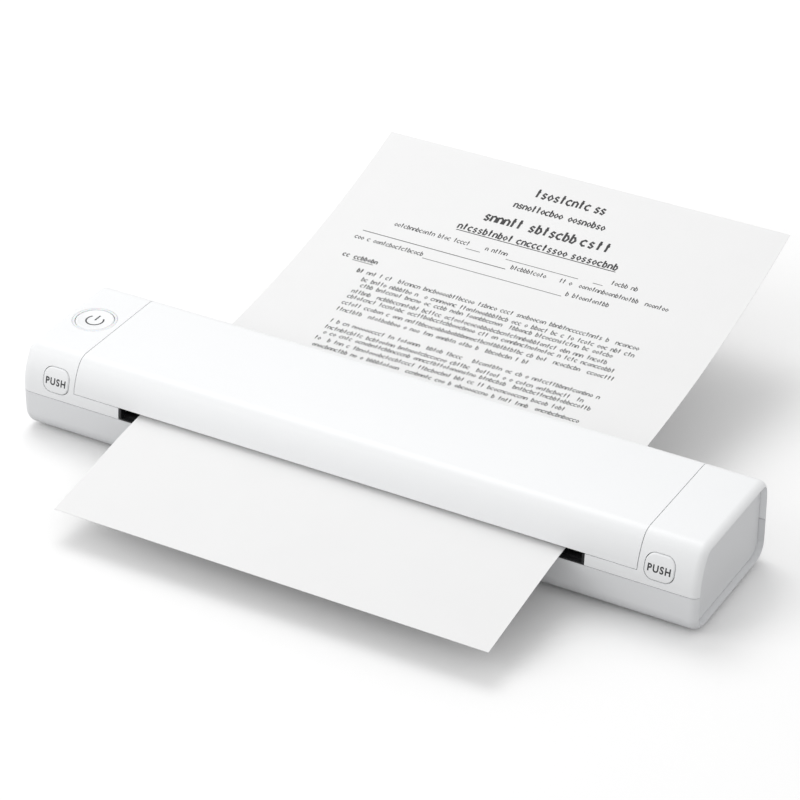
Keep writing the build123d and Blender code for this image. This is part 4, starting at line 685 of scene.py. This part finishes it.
def line_mesh(shape, path, width):
    """Add a flat line of one width along a path of points in the XY plane."""
    sides = []
    for n, here in enumerate(path):
        before, after = path[max(n - 1, 0)], path[min(n + 1, len(path) - 1)]
        across = (after - before).normalized().orthogonal() * width / 2
        sides.append([shape.verts.new((*(here + shift), 0)) for shift in (-across, across)])
    for low, high in zip(sides, sides[1:]):
        shape.faces.new((low[0], high[0], high[1], low[1]))


def face_upward(shape):
    """Turn every face of a flat bmesh to +Z."""
    bmesh.ops.recalc_face_normals(shape, faces=shape.faces)
    for face in shape.faces:
        if face.normal.z < 0:
            face.normal_flip()


low, high = corners_of("power_button")
reach = (high.y - low.y) / 2
middle = Vector((high.x - reach, (low.y + high.y) / 2, 0))
turn = math.tau - 2 * SYMBOL_GAP
angles = [math.pi / 2 + SYMBOL_GAP + turn * n / RING_STEPS for n in range(RING_STEPS + 1)]
symbol = bmesh.new()
line_mesh(symbol, [Vector((math.cos(a), math.sin(a))) * SYMBOL_RADIUS for a in angles], SYMBOL_LINE)
bar = [Vector((0, SYMBOL_BAR * n / BAR_STEPS)) for n in range(BAR_STEPS + 1)]
line_mesh(symbol, bar, SYMBOL_LINE)
face_upward(symbol)
print_on("power_button", symbol, lambda c: middle + c, Vector((0, 0, -1)))
legend_piece("power_symbol", symbol, "power")
print("symbol at", [round(v / MM, 2) for v in middle])

# %% [markdown]
# ## The printed page
# A thermal head prints a page in rows of tiny dots, and from a reading distance the rows look like
# lines of letters. The letters here are meaningless marks that only have the strokes of letters,
# drawn in units of their own height. Each is made with a light and a heavy stroke. The names of the
# light ones come first in the alphabet, because Geometry Nodes picks from a collection in the order
# of the names.

# %% Marks with the strokes of letters
MARKS = {
    "arch": (((0, 0), (0, 1)), ((0, 0.8), (0.35, 1), (0.65, 0.75), (0.65, 0))),
    "bowl": (((0.65, 0.15), (0.35, 0), (0, 0.3), (0, 0.7), (0.35, 1), (0.65, 0.85)),),
    "round": (((0, 0.5), (0.33, 1), (0.68, 0.5), (0.33, 0), (0, 0.5)),),
    "stem": (((0.25, 0), (0.25, 1.5)), ((0.05, 1), (0.5, 1))),
    "wave": (((0, 0.15), (0.4, 0), (0.6, 0.3), (0.05, 0.7), (0.25, 1), (0.6, 0.85)),),
    "tall": (((0.05, 0), (0.05, 1.5)), ((0.05, 0.9), (0.4, 1), (0.65, 0.5), (0.4, 0), (0.05, 0.1))),
}
LIGHT_STROKE, HEAVY_STROKE = 0.24, 0.32
mark_set = bpy.data.collections.new("marks")
for weight, stroke in (("a_light", LIGHT_STROKE), ("b_heavy", HEAVY_STROKE)):
    for mark_name, lines in MARKS.items():
        shape = bmesh.new()
        for path in lines:
            line_mesh(shape, [Vector(point) for point in path], stroke)
        face_upward(shape)
        mark = bpy.data.meshes.new(mark_name)
        shape.to_mesh(mark)
        shape.free()
        mark_set.objects.link(bpy.data.objects.new(f"{weight}_{mark_name}", mark))

# %% [markdown]
# The page has four headings, a form with lines to write on, and two paragraphs with short heavy
# marks before them. All sizes are in millimetres. Each entry starts with its distance from the rear
# edge of the sheet, and a start and an end are counted to the right from the middle of the sheet. A
# heading has the height of its letters and then the start and end of each word. A rule ends with its
# thickness, and a paragraph has one start and then the end of each of its rows. The letters of a
# row stand a little closer together than they are tall.

# %% Rows of the page
HEADINGS = (
    (16.5, 3.4, ((-18.5, 7.5), (12.5, 15.5))),
    (26.0, 2.6, ((-25, -1.5), (3.5, 20.5))),
    (38.0, 3.7, ((-34.5, -17.5), (-11, 10.5), (16, 28))),
    (47.4, 2.7, ((-43.5, -17), (-12.5, 11.5), (16, 37.5))),
)
FORM_ROWS = (
    (57.5, -72.5, -34), (57.5, -24, -14), (57.5, 39.5, 53), (64.5, -7, 73.5), (71.0, -86, -51),
    (71.0, 25, 47))
SECTION_HEADS = ((84.5, -85, -83), (84.5, -79, -68), (93.0, -72.7, -71))
RULES = (
    (48.7, -43.5, 39.5, 0.45), (58.7, -33, -25.5, 0.3), (58.7, -12, 25.5, 0.3), (58.7, 33, 38, 0.3),
    (65.6, -84.8, -9, 0.4), (72.2, -49, 23.5, 0.3), (85.6, -79, -68, 0.35))
PARAGRAPHS = (
    (93.0, -67.5, (71, 71, 64, 62, 71, 70, 30)),
    (130.5, -65.5, (70, 69.5, 70, 60, 69.5)),
)
ROW_PITCH, TEXT_HEIGHT = 4.65, 1.85
LETTER_PITCH = 0.9

rows = []
for distance, height, words in HEADINGS:
    rows += [(distance, start, end, height, True) for start, end in words]
rows += [(*row, TEXT_HEIGHT, False) for row in FORM_ROWS]
rows += [(*row, TEXT_HEIGHT, True) for row in SECTION_HEADS]
for first, start, ends in PARAGRAPHS:
    for n, end in enumerate(ends):
        rows.append((first + n * ROW_PITCH, start, end, TEXT_HEIGHT, False))
print("rows:", len(rows))

# %% [markdown]
# The sheet is curved, and a distance on paper runs along that curve. So a ray is dropped on the
# sheet at every millimetre, and the lengths of the steps are added up until the distance is reached.

# %% From a distance along the sheet to a place in plan
PLAN_STEP = 1.0 * MM
DROP_FROM = 1.0

sheet_high = corners_of("paper_sheet")[1]
sheet_surface = surface_of("paper_sheet")


def plan_place(distance):
    """The place in Y that lies a distance in millimetres from the rear edge along the sheet."""
    here, walked = sheet_high.y - INK_FILM, 0.0
    height = sheet_high.z
    while walked < distance * MM:
        here -= PLAN_STEP
        hit = sheet_surface.ray_cast(Vector((0, here, DROP_FROM)), Vector((0, 0, -1)))[0]
        walked += math.hypot(PLAN_STEP, height - hit.z)
        height = hit.z
    return here


print("10 mm along the sheet end at y", round(plan_place(10.0) / MM, 1), "mm")

# %% [markdown]
# Each row becomes one edge of a mesh, and its letter height, spacing and weight are written on its
# points as named attributes, which Geometry Nodes can read. The rules are drawn as flat lines.

# %% Edges for the rows and lines for the rules
row_ends, heights, pitches, weights = [], [], [], []
for distance, start, end, height, heavy in rows:
    y = plan_place(distance)
    row_ends += [(start * MM, y, 0), (end * MM, y, 0)]
    heights += [height * MM] * 2
    pitches += [height * LETTER_PITCH * MM] * 2
    weights += [int(heavy) * len(MARKS)] * 2
row_mesh = bpy.data.meshes.new("rows")
row_mesh.from_pydata(row_ends, [(n, n + 1) for n in range(0, len(row_ends), 2)], [])
for label, kind, values in (
        ("letter_height", "FLOAT", heights), ("pitch", "FLOAT", pitches), ("weight", "INT", weights)):
    row_mesh.attributes.new(label, kind, "POINT").data.foreach_set("value", values)
rule_shape = bmesh.new()
for distance, start, end, thickness in RULES:
    y = plan_place(distance)
    line_mesh(rule_shape, [Vector((end * MM, y)), Vector((start * MM, y))], thickness * MM)
rule_mesh = bpy.data.meshes.new("rules")
rule_shape.to_mesh(rule_mesh)
rule_shape.free()
rules = bpy.data.objects.new("rules", rule_mesh)
print("first row at y", round(row_ends[0][1] / MM, 1), "mm")

# %% [markdown]
# The first half of the tree turns each edge into a curve, steps along it by its spacing and sets a
# random mark on each step. A step without a mark is the gap between two words. The weight is 0 for a
# light row. For a heavy row it is the number of marks, so that it shifts the choice to the heavy
# marks, and the larger of it and the share leaves no gaps.

# %% Marks along the rows
print_tree = new_tree("letters_along_rows", {
    "Marks": "NodeSocketCollection", "Rules": "NodeSocketObject", "Sheet": "NodeSocketObject",
    "Mark count": "NodeSocketInt", "Share inked": "NodeSocketFloat", "Seed": "NodeSocketInt",
    "Film": "NodeSocketVector", "Finish": "NodeSocketMaterial"})
given = add_node(print_tree, "NodeGroupInput").outputs
row_curves = add_node(print_tree, "GeometryNodeMeshToCurve", {"Mesh": given["Geometry"]})
spacing, tallness, weight = [
    add_node(print_tree, "GeometryNodeInputNamedAttribute", {"Name": label}, data_type=kind)
    for label, kind in (("pitch", "FLOAT"), ("letter_height", "FLOAT"), ("weight", "INT"))]
steps = add_node(print_tree, "GeometryNodeResampleCurve", {
    "Curve": row_curves.outputs[0], "Length": spacing.outputs["Attribute"]}, mode="LENGTH")
share = add_node(print_tree, "ShaderNodeMath", {
    0: given["Share inked"], 1: weight.outputs["Attribute"]}, operation="MAXIMUM")
inked = add_node(print_tree, "FunctionNodeRandomValue", {
    "Probability": share.outputs[0], "Seed": given["Seed"]}, data_type="BOOLEAN")
last_mark = add_node(
    print_tree, "ShaderNodeMath", {0: given["Mark count"], 1: 1.0}, operation="SUBTRACT")
choice = add_node(print_tree, "FunctionNodeRandomValue", {
    4: 0, 5: last_mark.outputs[0], "Seed": given["Seed"]}, data_type="INT")
mark_index = add_node(print_tree, "ShaderNodeMath", {
    0: choice.outputs[2], 1: weight.outputs["Attribute"]}, operation="ADD")
mark_shapes = add_node(print_tree, "GeometryNodeCollectionInfo", {
    "Collection": given["Marks"], "Separate Children": True, "Reset Children": True})
letters = add_node(print_tree, "GeometryNodeInstanceOnPoints", {
    "Points": steps.outputs[0], "Selection": inked.outputs[3], "Instance": mark_shapes.outputs[0],
    "Pick Instance": True, "Instance Index": mark_index.outputs[0],
    "Scale": tallness.outputs["Attribute"]})
loose = add_node(print_tree, "GeometryNodeRealizeInstances", {"Geometry": letters.outputs[0]})
print("tree nodes up to the marks:", len(print_tree.nodes))

# %% [markdown]
# The second half joins the rules to the marks and drops every point on the sheet by a ray, so that
# the print follows the curve of the paper. It lies a film's thickness above the paper, or the two
# surfaces would flicker through each other.

# %% Laying the print on the sheet
rule_info = add_node(print_tree, "GeometryNodeObjectInfo", {"Object": given["Rules"]})
page = add_node(print_tree, "GeometryNodeJoinGeometry", {"Geometry": loose.outputs[0]})
print_tree.links.new(rule_info.outputs["Geometry"], page.inputs["Geometry"])
sheet_info = add_node(print_tree, "GeometryNodeObjectInfo", {"Object": given["Sheet"]})
position = add_node(print_tree, "GeometryNodeInputPosition")
above = add_node(
    print_tree, "ShaderNodeVectorMath", {0: position.outputs[0], 1: (0, 0, DROP_FROM)},
    operation="ADD")
drop = add_node(print_tree, "GeometryNodeRaycast", {
    "Target Geometry": sheet_info.outputs["Geometry"], "Source Position": above.outputs[0],
    "Ray Direction": (0, 0, -1), "Ray Length": 2 * DROP_FROM})
laid = add_node(print_tree, "GeometryNodeSetPosition", {
    "Geometry": page.outputs[0], "Position": drop.outputs["Hit Position"], "Offset": given["Film"]})
whole = add_node(print_tree, "GeometryNodeRealizeInstances", {"Geometry": laid.outputs[0]})
blackened = add_node(print_tree, "GeometryNodeSetMaterial", {
    "Geometry": whole.outputs[0], "Material": given["Finish"]})
add_node(print_tree, "NodeGroupOutput", {"Geometry": blackened.outputs[0]})
print("print tree nodes:", len(print_tree.nodes))

# %% [markdown]
# The tree now runs once on the rows. The seed is fixed, so that the page is the same every time. The
# samples were only there to be copied, and are removed.

# %% Print the page
PRINT_SEED, SHARE_INKED = 7, 0.84
printed = grow("printed_page", print_tree, row_mesh, {
    "Marks": mark_set, "Rules": rules, "Sheet": frame["nodes"]["paper_sheet"],
    "Mark count": len(MARKS), "Share inked": SHARE_INKED, "Seed": PRINT_SEED,
    "Film": (0.0, 0.0, INK_FILM), "Finish": THERMAL_BLACK}, THERMAL_BLACK, "sheet")
for sample in (*mark_set.objects, rules):
    bpy.data.objects.remove(sample)
bpy.data.collections.remove(mark_set)
print("printed faces:", len(printed.data.polygons))

# %% [markdown]
# ## Stage and light
# The product stands on a pale floor in front of a white world. A white floor that also lit the
# object in full would wash out the white plastic. So the camera sees the floor in pure white, and
# the light that the floor throws back is that of a light grey. The floor holds the shadow.

# %% Floor
SCENE.view_settings.view_transform = "Standard"
FLOOR_HALF = 3.0
FLOOR_LIGHTING = "D0D0D0"
FLOOR_ROUGHNESS = 0.9

floor_mesh = bpy.data.meshes.new("floor")
floor_mesh.from_pydata(
    [(x * FLOOR_HALF, y * FLOOR_HALF, 0) for x, y in ((-1, -1), (1, -1), (1, 1), (-1, 1))],
    [], [(0, 1, 2, 3)])
floor = bpy.data.objects.new("floor", floor_mesh)
SCENE.collection.objects.link(floor)
floor_material = bpy.data.materials.new("floor_white_paper_sweep")
floor_material.use_nodes = True
floor_mesh.materials.append(floor_material)
floor_tree = floor_material.node_tree
by_camera = add_node(floor_tree, "ShaderNodeLightPath").outputs["Is Camera Ray"]
floor_colour = add_node(floor_tree, "ShaderNodeMix", {
    0: by_camera, 6: linear(FLOOR_LIGHTING), 7: linear(PURE_WHITE)}, data_type="RGBA")
floor_shader = floor_tree.nodes["Principled BSDF"]
floor_shader.inputs["Roughness"].default_value = FLOOR_ROUGHNESS
floor_shader.inputs["Specular IOR Level"].default_value = 0.0
floor_tree.links.new(floor_colour.outputs[2], floor_shader.inputs["Base Color"])
print("floor", 2 * FLOOR_HALF, "m wide, lights as", FLOOR_LIGHTING)

# %% [markdown]
# A real sweep curves up behind the product and has no horizon. Here the floor turns plain white
# with distance for the camera alone, so that it runs into the white world, and it can be seen
# through from below, so that the underside can be looked at.

# %% Floor without a horizon
FADE_START, FADE_END = 0.5, 1.3
place = add_node(floor_tree, "ShaderNodeTexCoord").outputs["Object"]
from_middle = add_node(floor_tree, "ShaderNodeVectorMath", {0: place}, operation="LENGTH")
fade = add_node(floor_tree, "ShaderNodeMapRange", {
    "Value": from_middle.outputs["Value"], "From Min": FADE_START, "From Max": FADE_END},
    interpolation_type="SMOOTHSTEP")
fade_seen = add_node(
    floor_tree, "ShaderNodeMath", {0: fade.outputs[0], 1: by_camera}, operation="MULTIPLY")
glow = add_node(floor_tree, "ShaderNodeEmission", {"Color": linear(PURE_WHITE)})
swept = add_node(floor_tree, "ShaderNodeMixShader", {
    0: fade_seen.outputs[0], 1: floor_shader.outputs[0], 2: glow.outputs[0]})
clear = add_node(floor_tree, "ShaderNodeBsdfTransparent")
from_below = add_node(floor_tree, "ShaderNodeNewGeometry").outputs["Backfacing"]
one_sided = add_node(floor_tree, "ShaderNodeMixShader", {
    0: from_below, 1: swept.outputs[0], 2: clear.outputs[0]})
floor_tree.links.new(one_sided.outputs[0], floor_tree.nodes["Material Output"].inputs["Surface"])
print("floor fades from", FADE_START, "to", FADE_END, "m")

# %% [markdown]
# The world is the studio round the object. The camera, and a ray that a glossy or a clear surface
# sends on, sees it in pure white, and to matt surfaces it gives a weaker light from all sides.

# %% World
WORLD_LIGHT = 0.70
world = bpy.data.worlds.new("studio")
SCENE.world = world
world.use_nodes = True
world_tree = world.node_tree
rays = add_node(world_tree, "ShaderNodeLightPath").outputs
seen_direct = add_node(world_tree, "ShaderNodeMath", {
    0: rays["Is Camera Ray"], 1: rays["Is Glossy Ray"]}, operation="MAXIMUM")
seen = add_node(world_tree, "ShaderNodeMath", {
    0: seen_direct.outputs[0], 1: rays["Is Transmission Ray"]}, operation="MAXIMUM")
level = add_node(world_tree, "ShaderNodeMapRange", {
    "Value": seen.outputs[0], "To Min": WORLD_LIGHT, "To Max": 1.0})
background = world_tree.nodes["Background"]
background.inputs["Color"].default_value = linear(PURE_WHITE)
world_tree.links.new(level.outputs[0], background.inputs["Strength"])
print("world level", WORLD_LIGHT)

# %% [markdown]
# Two large softboxes shape the white case. The key hangs above and behind the left end, so that
# the top is the brightest face. The fill stands lower at the front left and lights the front, while
# the right end stays in the shade. Their places and sizes are in metres and their powers in watts.

# %% Softboxes
OBJECT_MIDDLE = Vector((0, 0, 0.02))
KEY_PLACE, KEY_SIZE, KEY_POWER = (-0.60, 0.60, 1.55), 1.0, 9.3
FILL_PLACE, FILL_SIZE, FILL_POWER = (-1.10, -1.10, 0.85), 1.2, 8.0


def softbox(name, place, size, power):
    """A square area lamp that points at the object."""
    data = bpy.data.lights.new(name, "AREA")
    data.energy = power
    data.size = size
    lamp = bpy.data.objects.new(name, data)
    lamp.location = place
    lamp.rotation_mode = "QUATERNION"
    lamp.rotation_quaternion = (OBJECT_MIDDLE - Vector(place)).to_track_quat("-Z", "Y")
    SCENE.collection.objects.link(lamp)


softbox("key", KEY_PLACE, KEY_SIZE, KEY_POWER)
softbox("fill", FILL_PLACE, FILL_SIZE, FILL_POWER)
print("lamps:", [lamp.name for lamp in bpy.data.lights])
